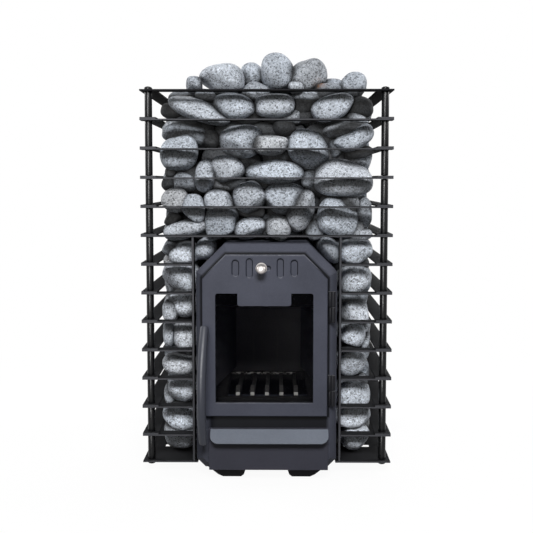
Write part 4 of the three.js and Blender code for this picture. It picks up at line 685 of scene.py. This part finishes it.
# stones on top: across, back, height, width, depth, height of stone, lean, tone, warmth
heapStones = [
    (-139, -165, 739, 32, 40, 33, 0, 0.7, 0.4), (-87, -148, 750, 88, 96, 62, -3, 0.85, 0.4),
    (-26, -112, 763, 54, 58, 46, 10, 0.75, 0.35), (20, -150, 766, 64, 72, 72, 0, 0.75, 0.35),
    (79, -138, 757, 74, 78, 74, 12, 0.6, 0.75), (55, -172, 733, 31, 40, 23, 0, 0.8, 0.5),
    (129, -110, 740, 50, 56, 34, 0, 0.7, 0.3), (166, -150, 740, 51, 56, 51, 4, 0.75, 0.35),
    (114, -150, 730, 62, 70, 30, 0, 0.6, 0.4), (-150, -80, 721, 92, 84, 34, 0, 0.6, 0.4),
    (-66, -72, 741, 94, 88, 56, 0, 0.7, 0.3), (16, -74, 747, 88, 90, 62, 0, 0.75, 0.5), (96, -76, 741, 92, 86, 52, 0, 0.7, 0.4),
    (164, -84, 731, 66, 84, 40, 0, 0.5, 0.6), (-150, 6, 725, 90, 104, 40, 0, 0.8, 0.4), (142, 2, 735, 96, 106, 50, 0, 0.7, 0.3),
    (-144, 92, 733, 100, 96, 46, 0, 0.65, 0.5), (146, 90, 732, 96, 98, 44, 0, 0.8, 0.4), (-92, 152, 732, 112, 78, 46, 0, 0.7, 0.35),
    (4, 154, 733, 104, 76, 50, 0, 0.6, 0.6), (96, 152, 731, 106, 80, 44, 0, 0.75, 0.4)]
low, high = limits("stones_heap")
low[2] -= 20.0  # the lowest ones lie between the stones below
# sunk: painted shade on the heap's stones low down, where they meet the top frame
stonePile("heapStones", heapStones, low, high, 21, "stones_heap", 14, dents=[(1, (0.5, -0.8, 0.3), 0.06, 0.16)],
          rust=dict(spot=(101, -172, 741), reach=9.0), sunk=(723.0, 738.0))

# stones beside the firebox: the column behind the front bars, on the firebox's shoulder, then rough courses
# the same columns as the front stones; a low tone is painted shade for a stone in shadow
columnStones = {
    "left": [
        (-156, 412, 61, 35, 10, 0, 0.85, 0.4), (-194, 417, 39, 25, 5, 1, 0.45, 0.4),
        (-178, 366, 73, 54, 14, 0, 0.85, 0.4), (-160, 315, 61, 46, 32, 0, 0.8, 0.45),
        (-186, 300, 36, 33, 10, 0, 0.75, 0.45), (-190, 257, 25, 44, 0, 0, 0.6, 0.4),
        (-157, 255, 54, 48, -10, 0, 0.85, 0.6), (-170, 194, 72, 36, -4, 0, 0.8, 0.6),
        (-162, 148, 62, 50, 30, 0, 0.85, 0.4), (-189, 132, 29, 35, 0, 1, 0.8, 0.4),
        (-168, 89, 73, 50, 0, 0, 0.85, 0.3), (-168, 54, 70, 46, 4, 0, 0.8, 0.45)],
    "right": [
        (168, 415, 72, 40, 3, 0, 0.8, 0.3), (169, 364, 70, 48, -14, 0, 0.85, 0.4), (175, 388, 50, 23, 0, 1, 0.3, 0.5),
        (166, 300, 66, 38, 3, 0, 0.85, 0.45), (166, 325, 62, 31, 0, 1, 0.4, 0.4),
        (163, 257, 59, 46, -8, 0, 0.85, 0.35), (190, 241, 25, 23, 0, 1, 0.6, 0.4),
        (163, 202, 61, 48, -10, 0, 0.85, 0.35), (167, 139, 71, 50, 0, 0, 0.85, 0.35),
        (186, 161, 27, 23, 0, 1, 0.4, 0.5), (168, 96, 72, 42, -8, 0, 0.85, 0.4), (181, 75, 44, 29, -10, 1, 0.75, 0.75),
        (172, 54, 58, 50, 0, 0, 0.85, 0.4)]}
# stones of the side and back walls: along the wall, height above the base, length, height of stone, lean
wallStones = {
    "left": [
        (54, 657, 119, 73, 0), (-59, 656, 133, 74, 1), (157, 652, 111, 83, 6), (32, 603, 60, 57, 32),
        (-89, 600, 77, 60, 11), (-20, 598, 71, 63, -43), (97, 589, 91, 81, -34), (170, 573, 84, 89, 29),
        (-74, 540, 105, 78, -9), (27, 532, 123, 89, -2), (137, 500, 139, 93, -2), (-68, 466, 116, 93, -4),
        (28, 454, 113, 82, -14), (174, 441, 79, 60, -9), (97, 422, 90, 66, -23), (-81, 389, 95, 83, -27),
        (162, 378, 101, 82, 8), (6, 376, 110, 90, -7), (84, 355, 78, 68, -8), (-63, 304, 131, 100, 3),
        (42, 302, 97, 68, 9), (146, 301, 134, 86, -4), (32, 246, 113, 63, 0), (144, 231, 134, 76, -2),
        (-65, 224, 124, 81, 6), (164, 177, 102, 52, -5), (50, 176, 140, 90, 6), (-76, 150, 115, 89, -29),
        (157, 118, 115, 83, 21), (-8, 108, 107, 84, -5), (79, 87, 104, 88, 6), (-67, 46, 131, 103, 18),
        (154, 36, 121, 82, -12), (41, 26, 117, 65, 5)],
    "right": [
        (-66, 662, 127, 61, -4), (40, 656, 113, 75, -4), (147, 648, 132, 92, -1), (-58, 600, 141, 81, -3),
        (51, 588, 112, 75, -14), (154, 564, 120, 97, 4), (-56, 527, 144, 85, -2), (68, 517, 118, 79, 12),
        (164, 481, 99, 85, 14), (9, 471, 92, 64, 3), (-80, 454, 98, 80, -2), (90, 434, 107, 89, -3),
        (164, 399, 103, 78, -27), (-7, 398, 117, 95, -3), (-88, 378, 76, 82, -24), (63, 350, 127, 74, -19),
        (167, 331, 96, 74, 27), (-57, 308, 138, 91, -8), (101, 297, 95, 65, -5), (29, 262, 113, 84, 5),
        (157, 246, 118, 94, -4), (-79, 232, 100, 82, -11), (-9, 197, 96, 71, -5), (87, 190, 113, 88, 8),
        (172, 166, 81, 74, -34), (-81, 158, 91, 74, 3), (16, 124, 122, 92, 1), (110, 115, 85, 74, -25),
        (174, 100, 77, 67, -26), (-72, 86, 113, 80, 10), (59, 45, 119, 96, 4), (156, 36, 108, 85, -1),
        (-22, 28, 79, 69, 15), (-90, 25, 73, 58, 19)],
    "back": [
        (66, 647, 148, 95, 5), (-69, 647, 143, 96, -8), (-10, 586, 100, 72, -8), (-92, 563, 93, 79, 24),
        (83, 562, 112, 95, -8), (-3, 519, 109, 71, 9), (-85, 487, 105, 88, 7), (91, 481, 97, 84, 24),
        (10, 445, 116, 84, 4), (-82, 404, 114, 96, 0), (91, 400, 94, 85, 5), (8, 360, 111, 91, -8),
        (-80, 321, 117, 84, 7), (85, 318, 110, 85, -15), (4, 275, 84, 77, 16), (-78, 249, 120, 76, 5),
        (83, 246, 109, 75, -5), (7, 187, 108, 101, -12), (96, 181, 83, 73, -2), (-87, 181, 103, 79, 5),
        (-78, 115, 120, 75, -10), (72, 111, 130, 93, 4), (-7, 95, 62, 75, -6), (-77, 40, 122, 91, 0),
        (86, 35, 103, 80, -3), (9, 31, 72, 78, 40)]}
walls = dict(press=1.07, thinnest=0.9, tones=(0.45, 0.95))
shoulders = dict(across=122, height=424, size=(66, 112, 44), lean=45, rows=(-153, -51, 51, 120))


def wallTable(rows, alongAxis, outer, inner, seed):
    # a list of stones along one wall: each reaches from the cage's bars to a random share of the wall's thickness
    rows = np.asarray(rows, float)
    rng = np.random.default_rng(seed)
    deep = abs(outer - inner) * rng.uniform(walls["thinnest"], 1.0, len(rows))
    table = np.zeros((len(rows), 9))
    table[:, alongAxis] = rows[:, 0]
    table[:, 1 - alongAxis] = outer - np.sign(outer) * deep / 2
    table[:, 2] = baseHigh[2] * 1000 + rows[:, 1]
    table[:, 3 + alongAxis] = rows[:, 2] * walls["press"]
    table[:, 4 - alongAxis] = deep
    table[:, 5] = rows[:, 3] * walls["press"]
    table[:, 6] = rows[:, 4]
    table[:, 7] = rng.uniform(*walls["tones"], len(rows))
    table[:, 8] = rng.beta(1.6, 2.2, len(rows))
    return table


beside = limits("firebox_body")[1][0] + 0.6  # clear of the firebox's side
columnGrowth = 14.0  # the upper part of a stone in a column, which the bar above hides
floorOfPile, behind = limits("stones_left")[0][2], limits("stones_back")[0][1]
for side, sign, seed in (("left", -1, 31), ("right", 1, 41)):
    nodeName = "stones_" + side
    low = np.array([-face if sign < 0 else beside, -face, floorOfPile])
    high = np.array([-beside if sign < 0 else face, face, pileTop])
    stonePile(side + "Stones", wallTable(wallStones[side], 1, sign * face, sign * beside, seed), low, high, seed + 1, nodeName, 12, 1, (sign, 0, 0.1))
    table = facing(columnStones[side], seed, 0.8, (72, 100))
    table[:, 2] += columnGrowth / 2
    table[:, 5] += columnGrowth
    # painted light: the column stones' tones are raised by 0.22 for the light they lack low down behind the bars
    table[:, 7] += 0.22
    # cap: painted shade on the top of each column stone, under the bar above
    stonePile(side + "ColumnStones", table, low, high, seed + 2, nodeName, 12, flat=(0, -1, 0.1), cap=0.19)
    deepLow, deepHigh = low.copy(), high.copy()
    deepLow[1], deepHigh[1], deepHigh[2] = -168, -84, shelfTop - 20
    stonePile(side + "DeeperStones", courses(deepLow, deepHigh, 0, (40, 44), seed + 5, (0.6, 0.85)), deepLow, deepHigh, seed + 6, nodeName, 9,
              sideways=True)
    count = len(shoulders["rows"])
    rng = np.random.default_rng(seed + 3)
    table = np.column_stack([np.full(count, sign * shoulders["across"]), shoulders["rows"], np.full(count, shoulders["height"]),
                             np.tile(shoulders["size"], (count, 1)) * rng.uniform(0.88, 1.02, (count, 1)),
                             np.full(count, sign * shoulders["lean"]), rng.uniform(0.6, 0.85, count), rng.uniform(0.3, 0.5, count)])
    stonePile(side + "ShoulderStones", table, np.array([-face, -face, 380.0]), np.array([face, 146, 470.0]), seed + 4, nodeName, 12)
low, high = np.array([-beside, behind, floorOfPile]), np.array([beside, face, pileTop])
stonePile("backStones", wallTable(wallStones["back"], 0, face, behind, 51), low, high, 52, "stones_back", 12, flat=(0, 1, 0.1))

# stones out of sight on top of the firebox: in front of the flue collar and on both sides of it
collarReach = 73.0
for name, x, y in (("innerStones", (-beside, beside), (-118, -14)), ("leftInnerStones", (-beside, -collarReach), (-14, behind)),
                   ("rightInnerStones", (collarReach, beside), (-14, behind))):
    low, high = np.array([x[0], y[0], shelfTop]), np.array([x[1], y[1], pileTop])
    stonePile(name, courses(low, high, 0 if name == "innerStones" else 1, (84, 64), 61 + len(name), (0.3, 0.7)), low, high, 62 + len(name),
              "stones_middle", 9)
print("stones piled")


# cage posts: a tie rod through sleeves, with a domed nut at each end
post = dict(spacing=440.0, base=26.0, sleeve=48.0, pitch=54.0, levels=13, sleeveRadius=7.0, rodRadius=4.0, nutRadius=7.5, nutHeight=6.0,
            gap=0.3, sides=28)


def postProfile():
    # the nut's quarter ellipse, then four corners for each sleeve, then the nut again, with every corner eased
    turn = np.linspace(0.06, 1.0, 7) * np.pi / 2
    dome = np.stack([post["nutRadius"] * np.sin(turn), -(post["nutHeight"] - 2.5) * np.cos(turn)], -1)
    foot, head = post["base"] - 3 - post["gap"], post["base"] + (post["levels"] - 1) * post["pitch"] + post["sleeve"] + 3 + post["gap"]
    start = post["base"] + np.arange(post["levels"]) * post["pitch"] + post["gap"]
    low, high = np.stack([start, start], -1), np.stack([start, start], -1) + post["sleeve"] - 2 * post["gap"]
    radii = np.tile([post["rodRadius"], post["sleeveRadius"], post["sleeveRadius"], post["rodRadius"]], post["levels"])
    sleeves = np.stack([radii, np.concatenate([low, high], 1).reshape(-1)], -1)
    below = np.vstack([dome + (0, foot - 2.5), [(post["nutRadius"], foot), (post["rodRadius"], foot)]])
    above = below[::-1] * (1, -1) + (0, foot + head)
    return roundedProfile(np.vstack([below, sleeves, above]), 0.7, 3)


profile = postProfile()
for name, x, y in (("front_left", -1, -1), ("front_right", 1, -1), ("back_left", -1, 1), ("back_right", 1, 1)):
    points, faces = turnedSurface(profile, (x * post["spacing"] / 2, y * post["spacing"] / 2, 0), post["sides"])
    standFor(meshPiece("post_" + name, place(points), faces), "stove", "cage_steel", postPaint, "corner_post_" + name)
print("posts turned")

# handle: a bowed tube on two studs with washers
handle = dict(across=(-111.5, -118.0, -115.1), door=-285.6, end=-303.3, bow=30.4, top=293.5, bottom=79.5, radius=8.0, studs=(148.5, 268.5), studRadius=3.5, ease=2.0)


def handleBow(share):
    # a parabola: y goes forward by 4 s (1 - s) times the bow while z falls evenly, and x follows its own three points
    first, control, last = handle["across"]
    x = (1 - share) ** 2 * first + 2 * share * (1 - share) * control + share ** 2 * last
    return np.stack([x, handle["end"] - 4 * handle["bow"] * share * (1 - share),
                     handle["top"] + (handle["bottom"] - handle["top"]) * share], -1)


ends = handle["ease"] / (handle["top"] - handle["bottom"]) * np.array([0, 0.15, 0.4, 0.7, 1.0])
share = np.concatenate([ends, np.linspace(ends[-1], 1 - ends[-1], 61)[1:-1], 1 - ends[::-1]])
nearEnd = np.clip(np.minimum(share, 1 - share) / ends[-1], 0, 1)
radii = handle["radius"] - handle["ease"] * (1 - np.sqrt(1 - (1 - nearEnd) ** 2))
parts = [sweptTube(handleBow(share), radii, 24)]
for z in handle["studs"]:
    tubeX, tubeY, _ = handleBow(np.array([(handle["top"] - z) / (handle["top"] - handle["bottom"])]))[0]
    reach = handle["door"] - tubeY
    r = handle["studRadius"]
    outline = [(0.05, 0), (r + 2.5, 0), (r + 2.5, 2.0), (r, 2.6), (r, reach - 6), (r + 1.2, reach - 3.5), (r + 1.2, reach), (0.05, reach)]
    parts.append(turnedSurface(roundedProfile(outline, 0.6, 3), (tubeX, handle["door"], z), 20, (0, -1, 0)))
points, faces = joined(*parts)
standFor(meshPiece("bowHandle", place(points), faces), "door", "firebox_steel", handlePaint, "door_handle")

# knob: a polished ball on a stem, with a collar against the door
knob = dict(spot=(-9.0, -285.3, 398.1), stem=3.0, ball=8.8, standOff=22.0, collar=10.4, collarThickness=2.0, inside=6.5)
stemEnd = np.arcsin(knob["stem"] / knob["ball"])
turn = np.linspace(stemEnd, np.pi * 0.985, 26)
ballProfile = np.stack([knob["ball"] * np.sin(turn), knob["standOff"] - knob["ball"] * np.cos(turn)], -1)
collar = roundedProfile([(0.1, -knob["inside"]), (knob["stem"], -knob["inside"]), (knob["stem"], 0.3), (knob["collar"], 0.3),
                         (knob["collar"], 0.3 + knob["collarThickness"]), (knob["stem"], 0.3 + knob["collarThickness"])], 0.5, 3)
points, faces = turnedSurface(np.vstack([collar[:-1], ballProfile]), knob["spot"], 36, (0, -1, 0))
standFor(meshPiece("ballKnob", place(points), faces), "air_slider", "bright_steel", polished, "slider_knob")

# flue collar: a thin tube on a flange
flue = dict(spot=(0, 60, 0), bore=54.5, radius=57.5, flange=70.0, flangeThickness=3.0)
low, high = limits("flue_collar")
ring = [(flue["bore"], low[2]), (flue["flange"], low[2]), (flue["flange"], low[2] + flue["flangeThickness"]),
        (flue["radius"], low[2] + flue["flangeThickness"]), (flue["radius"], high[2]), (flue["bore"], high[2])]
points, faces = turnedSurface(roundedLoop(ring, 0.8, 3), flue["spot"], 72, ring=True)
standFor(meshPiece("flueTube", place(points), faces), "stove", "firebox_steel", fireboxPaint, "flue_collar")

# hinges: two barrels on one pin, each with its leaf
hinge = dict(axis=(122.4, -279.3), heights=dict(upper=326.5, lower=171.5), radius=4.6, length=58.0, gap=0.15, leafX=(-8.1, -1.5), lugX=(-9.3, -1.5),
             frameY=6.7, lug=2.5)
for key, z in hinge["heights"].items():
    ax, ay = hinge["axis"]
    r = hinge["radius"]
    for body, end in (("stove", -1), ("door", 1)):
        span = sorted((z + end * hinge["gap"], z + end * hinge["length"] / 2))
        barrel = roundedProfile([(0.05, span[0]), (r, span[0]), (r, span[1]), (0.05, span[1])], 1.2, 5)
        barrelMesh = turnedSurface(barrel, (ax, ay, 0), 24)
        if body == "stove":
            leaf = roundedSlab((ax + hinge["leafX"][0], ay + 0.5, span[0]), (ax + hinge["leafX"][1], ay + hinge["frameY"], span[1]), 0.6)
        else:
            leaf = roundedSlab((ax + hinge["lugX"][0], ay - hinge["lug"], span[0]), (ax + hinge["lugX"][1], ay + hinge["lug"], span[1]), 0.6)
        points, faces = joined(barrelMesh, leaf)
        piece = meshPiece(f"hinge_{'leaf' if body == 'stove' else 'lug'}_{key}", place(points), faces)
        nodeName = f"hinge_frame_{key}" if body == "stove" else f"hinge_door_{key}"
        standFor(piece, body, "firebox_steel", hingePaint, nodeName)

# door sheet: the solid's own mesh with its flat faces joined, folded round at the outer edge and eased elsewhere
fold = dict(radius=3.0, ring=3.3, easeShare=0.25, slotShare=0.85, slotsAbove=365.0, sillShare=0.6, sillBelow=150.0, sharpest=50.0, chamfer=43.5)


def foldedDoor():
    low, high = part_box("door_panel")
    sheet = bmesh.new()
    sheet.from_mesh(nodes["door_panel"].data)
    bmesh.ops.remove_doubles(sheet, verts=sheet.verts, dist=0.000001)
    bmesh.ops.dissolve_limit(sheet, angle_limit=math.radians(1), verts=sheet.verts, edges=sheet.edges)
    front = [each for each in sheet.faces if each.normal.y < -0.999 and each.calc_center_median().y - low[1] < 0.0001]
    bmesh.ops.inset_region(sheet, faces=front, thickness=fold["ring"] * 0.001, use_even_offset=True, use_boundary=True)  # room for the folds
    weight = sheet.edges.layers.float.new("bevel_weight_edge")
    for edge in sheet.edges:
        if edge.calc_face_angle(0.0) < math.radians(fold["sharpest"]):
            continue
        x, y, z = (edge.verts[0].co + edge.verts[1].co) / 2
        toSide, toTop = min(x - low[0], high[0] - x), high[2] - z
        toRim = min(toSide, toTop, z - low[2], toSide + toTop - fold["chamfer"] * 0.001)  # the cut corners slope at 45 degrees
        atFront = y - low[1] < 0.0001
        slot = atFront and z > fold["slotsAbove"] * 0.001
        sill = atFront and z < fold["sillBelow"] * 0.001
        edge[weight] = 1.0 if atFront and toRim < 0.0001 else fold["slotShare"] if slot else fold["sillShare"] if sill else fold["easeShare"]
    mesh = bpy.data.meshes.new("foldedDoor")
    sheet.to_mesh(mesh)
    sheet.free()
    mesh.polygons.foreach_set("use_smooth", np.full(len(mesh.polygons), True))
    piece = bpy.data.objects.new("foldedDoor", mesh)
    scene.collection.objects.link(piece)
    bevel = piece.modifiers.new("fold", "BEVEL")
    bevel.limit_method, bevel.width, bevel.segments = "WEIGHT", fold["radius"] * 0.001, 4
    bevel.use_clamp_overlap = False
    piece.modifiers.new("evenShade", "WEIGHTED_NORMAL")
    standFor(piece, "door", "door_steel", doorPaint, "door_panel")


foldedDoor()

# rope seal round the door: a flat oval carried along the door's outline
low, high = limits("door_gasket")
rope = dict(chamfer=43.0, width=4.5, ease=6.0)
inset = rope["width"] / 2
x0, x1, z0, z1, cut = low[0] + inset, high[0] - inset, low[2] + inset, high[2] - inset, rope["chamfer"]
outline = roundedLoop([(x0, z0), (x1, z0), (x1, z1 - cut), (x1 - cut, z1), (x0 + cut, z1), (x0, z1 - cut)], rope["ease"], 6)
step = np.roll(outline, -1, 0) - outline
count = 360
length = np.concatenate([[0], np.cumsum(np.linalg.norm(step, axis=1))])
at = np.linspace(0, length[-1], count, endpoint=False)
path = np.stack([np.interp(at, length, np.append(outline[:, k], outline[0, k])) for k in (0, 1)], -1)
tangent = np.roll(path, -1, 0) - np.roll(path, 1, 0)
tangent /= np.linalg.norm(tangent, axis=1, keepdims=True)
outward = np.stack([tangent[:, 1], -tangent[:, 0]], -1)
turn = np.linspace(0, 2 * np.pi, 12, endpoint=False)
wide = path[:, None] + outward[:, None] * (np.cos(turn) * inset)[None, :, None]
deep = (low[1] + high[1]) / 2 + np.sin(turn) * (high[1] - low[1]) / 2
points = np.stack([wide[..., 0], np.broadcast_to(deep, wide.shape[:2]), wide[..., 1]], -1).reshape(-1, 3)
piece = meshPiece("ropeRing", place(points), gridFaces(count, len(turn), True, True))
for key, values in (("ropeLength", np.repeat(at * 0.001, len(turn))), ("ropeTurn", np.tile(2 * turn, count))):
    piece.data.attributes.new(key, "FLOAT", "POINT").data.foreach_set("value", values.astype(np.float32))
standFor(piece, "door", "rope_seal", ropeSeal, "door_gasket")
print("fittings made")


# finishes and eased edges on the solid pieces
def dress(names, material, width=0.0, segments=2):
    for name in names:
        node = nodes[name]
        node.data.materials.clear()
        node.data.materials.append(material)
        if width:
            weld = node.modifiers.new("weld", "WELD")
            weld.merge_threshold = 0.00001
            bevel = node.modifiers.new("edge", "BEVEL")
            bevel.width = width
            bevel.segments = segments
            bevel.limit_method = "ANGLE"
            bevel.angle_limit = math.radians(50)


dress([n for n in nodes if n.startswith(("bar_level", "upright"))] + ["base_plate"], barPaint, 0.0005)
# the top frame in the darker copy of the bar paint: painted shade
dress(["top_frame"], topPaint, 0.0005)
dress(["firebox_body"], fireboxPaint, 0.0009)
dress(["front_frame"], framePaint, 0.0009)
dress(["foot_rail_left", "foot_rail_right"], footPaint, 0.0009)
dress(["slider_guide", "drawer_pan", "glass_retainer"], fireboxPaint, 0.0003)
dress(["firebox_back", "grate_shelf", "baffle_plate"], sootySteel, 0.0006)
dress(["liner_left", "liner_right"], fireclay, 0.0015)
dress(["liner_back"], backFireclay, 0.0015)
dress(["fire_grate"], castIron, 0.0008)
dress(["slider_plate"], doorPaint, 0.0008, 3)
dress(["drawer_front"], drawerPaint, 0.0012, 3)
dress(["drawer_lip"], lipPaint, 0.0008)
dress(["catch_clip", "catch_pin"], polished, 0.0003)
dress(["door_glass"], paneGlass, 0.0004)
print("solids dressed")

# floor, light and camera
studio = dict(floorColour=0.9, floorBounce=0.12, backdropShare=0.945, worldLight=0.014, keyPower=91.0, stripPower=150.0, fillPower=1.0, rimPower=52.0, sidePower=50.0)


def studioFloor():
    side = 12.0
    floor = meshPiece("studioFloor", [(-side, -side, 0), (side, -side, 0), (side, side, 0), (-side, side, 0)], [(0, 1, 2, 3)], False)
    material, tree, shader = newMaterial("paleFloor")
    tree.nodes.remove(shader)
    ray = addNode(tree, "ShaderNodeLightPath").outputs
    colour = mixed(tree, ray["Is Camera Ray"], (*grey(studio["floorBounce"]), 1), (*grey(studio["floorColour"]), 1))
    diffuse = addNode(tree, "ShaderNodeBsdfDiffuse", {"Color": colour})
    white = addNode(tree, "ShaderNodeEmission", {"Color": (1, 1, 1, 1), "Strength": 1.0})
    seen = calc(tree, "MAXIMUM", calc(tree, "MAXIMUM", ray["Is Camera Ray"], ray["Is Glossy Ray"]), ray["Is Transmission Ray"])
    where = addNode(tree, "ShaderNodeTexCoord").outputs["Object"]
    away = addNode(tree, "ShaderNodeVectorMath", {0: where}, operation="LENGTH").outputs["Value"]
    share = calc(tree, "MULTIPLY", seen, remap(tree, away, 0.45, 1.3, studio["backdropShare"], 1.0))
    both = addNode(tree, "ShaderNodeMixShader", {0: share, 1: diffuse.outputs[0], 2: white.outputs[0]})
    tree.links.new(both.outputs[0], tree.nodes["Material Output"].inputs["Surface"])
    floor.data.materials.append(material)


def studioWorld():
    world = bpy.data.worlds.new("studioWorld")
    world.use_nodes = True
    tree = world.node_tree
    tree.nodes.clear()
    ray = addNode(tree, "ShaderNodeLightPath").outputs
    seen = calc(tree, "MAXIMUM", calc(tree, "MAXIMUM", ray["Is Camera Ray"], ray["Is Glossy Ray"]), ray["Is Transmission Ray"])
    soft = addNode(tree, "ShaderNodeBackground", {"Color": (1, 1, 1, 1), "Strength": studio["worldLight"]})
    white = addNode(tree, "ShaderNodeBackground", {"Color": (1, 1, 1, 1), "Strength": 1.0})
    mix = addNode(tree, "ShaderNodeMixShader", {0: seen, 1: soft.outputs[0], 2: white.outputs[0]})
    addNode(tree, "ShaderNodeOutputWorld", {"Surface": mix.outputs[0]})
    scene.world = world


def areaLamp(name, spot, target, size, power):
    data = bpy.data.lights.new(name, "AREA")
    data.shape = "RECTANGLE"
    data.size, data.size_y = size
    data.energy = power
    lamp = bpy.data.objects.new(name, data)
    lamp.location = spot
    lamp.rotation_euler = (Vector(target) - Vector(spot)).to_track_quat("-Z", "Y").to_euler()
    scene.collection.objects.link(lamp)
    return lamp


studioFloor()
studioWorld()
areaLamp("keyLamp", (0.1, -2.6, 1.88), (0, 0, 0.42), (1.0, 0.7), studio["keyPower"])
areaLamp("stripLamp", (-0.7, -2.95, 0.8), (0, 0, 0.7), (0.4, 1.6), studio["stripPower"]).visible_diffuse = False  # for gloss alone
areaLamp("fillLamp", (1.6, -2.0, 1.3), (0, 0, 0.4), (1.6, 1.6), studio["fillPower"])
areaLamp("rimLamp", (0.3, 2.6, 1.9), (0, 0, 0.4), (1.6, 1.2), studio["rimPower"])
for name, x in (("leftLamp", -2.6), ("rightLamp", 2.6)):
    areaLamp(name, (x, 0.9, 1.6), (0, 0.1, 0.4), (1.4, 1.2), studio["sidePower"])  # behind the front's plane

view = dict(spot=(19.8, -2052.4, 554.2), pitch=4.94, yaw=-0.63, focus=976.9, frameSize=533.0)
data = bpy.data.cameras.new("photoCamera")
data.sensor_width = 36.0
data.lens = view["focus"] / view["frameSize"] * 36.0
camera = bpy.data.objects.new("photoCamera", data)
camera.location = place(view["spot"])
pitch, yaw = math.radians(view["pitch"]), math.radians(view["yaw"])
look = Vector((math.sin(yaw) * math.cos(pitch), math.cos(yaw) * math.cos(pitch), -math.sin(pitch)))
camera.rotation_euler = look.to_track_quat("-Z", "Y").to_euler()
scene.collection.objects.link(camera)
scene.camera = camera
scene.view_settings.view_transform = "Standard"
print("studio set")
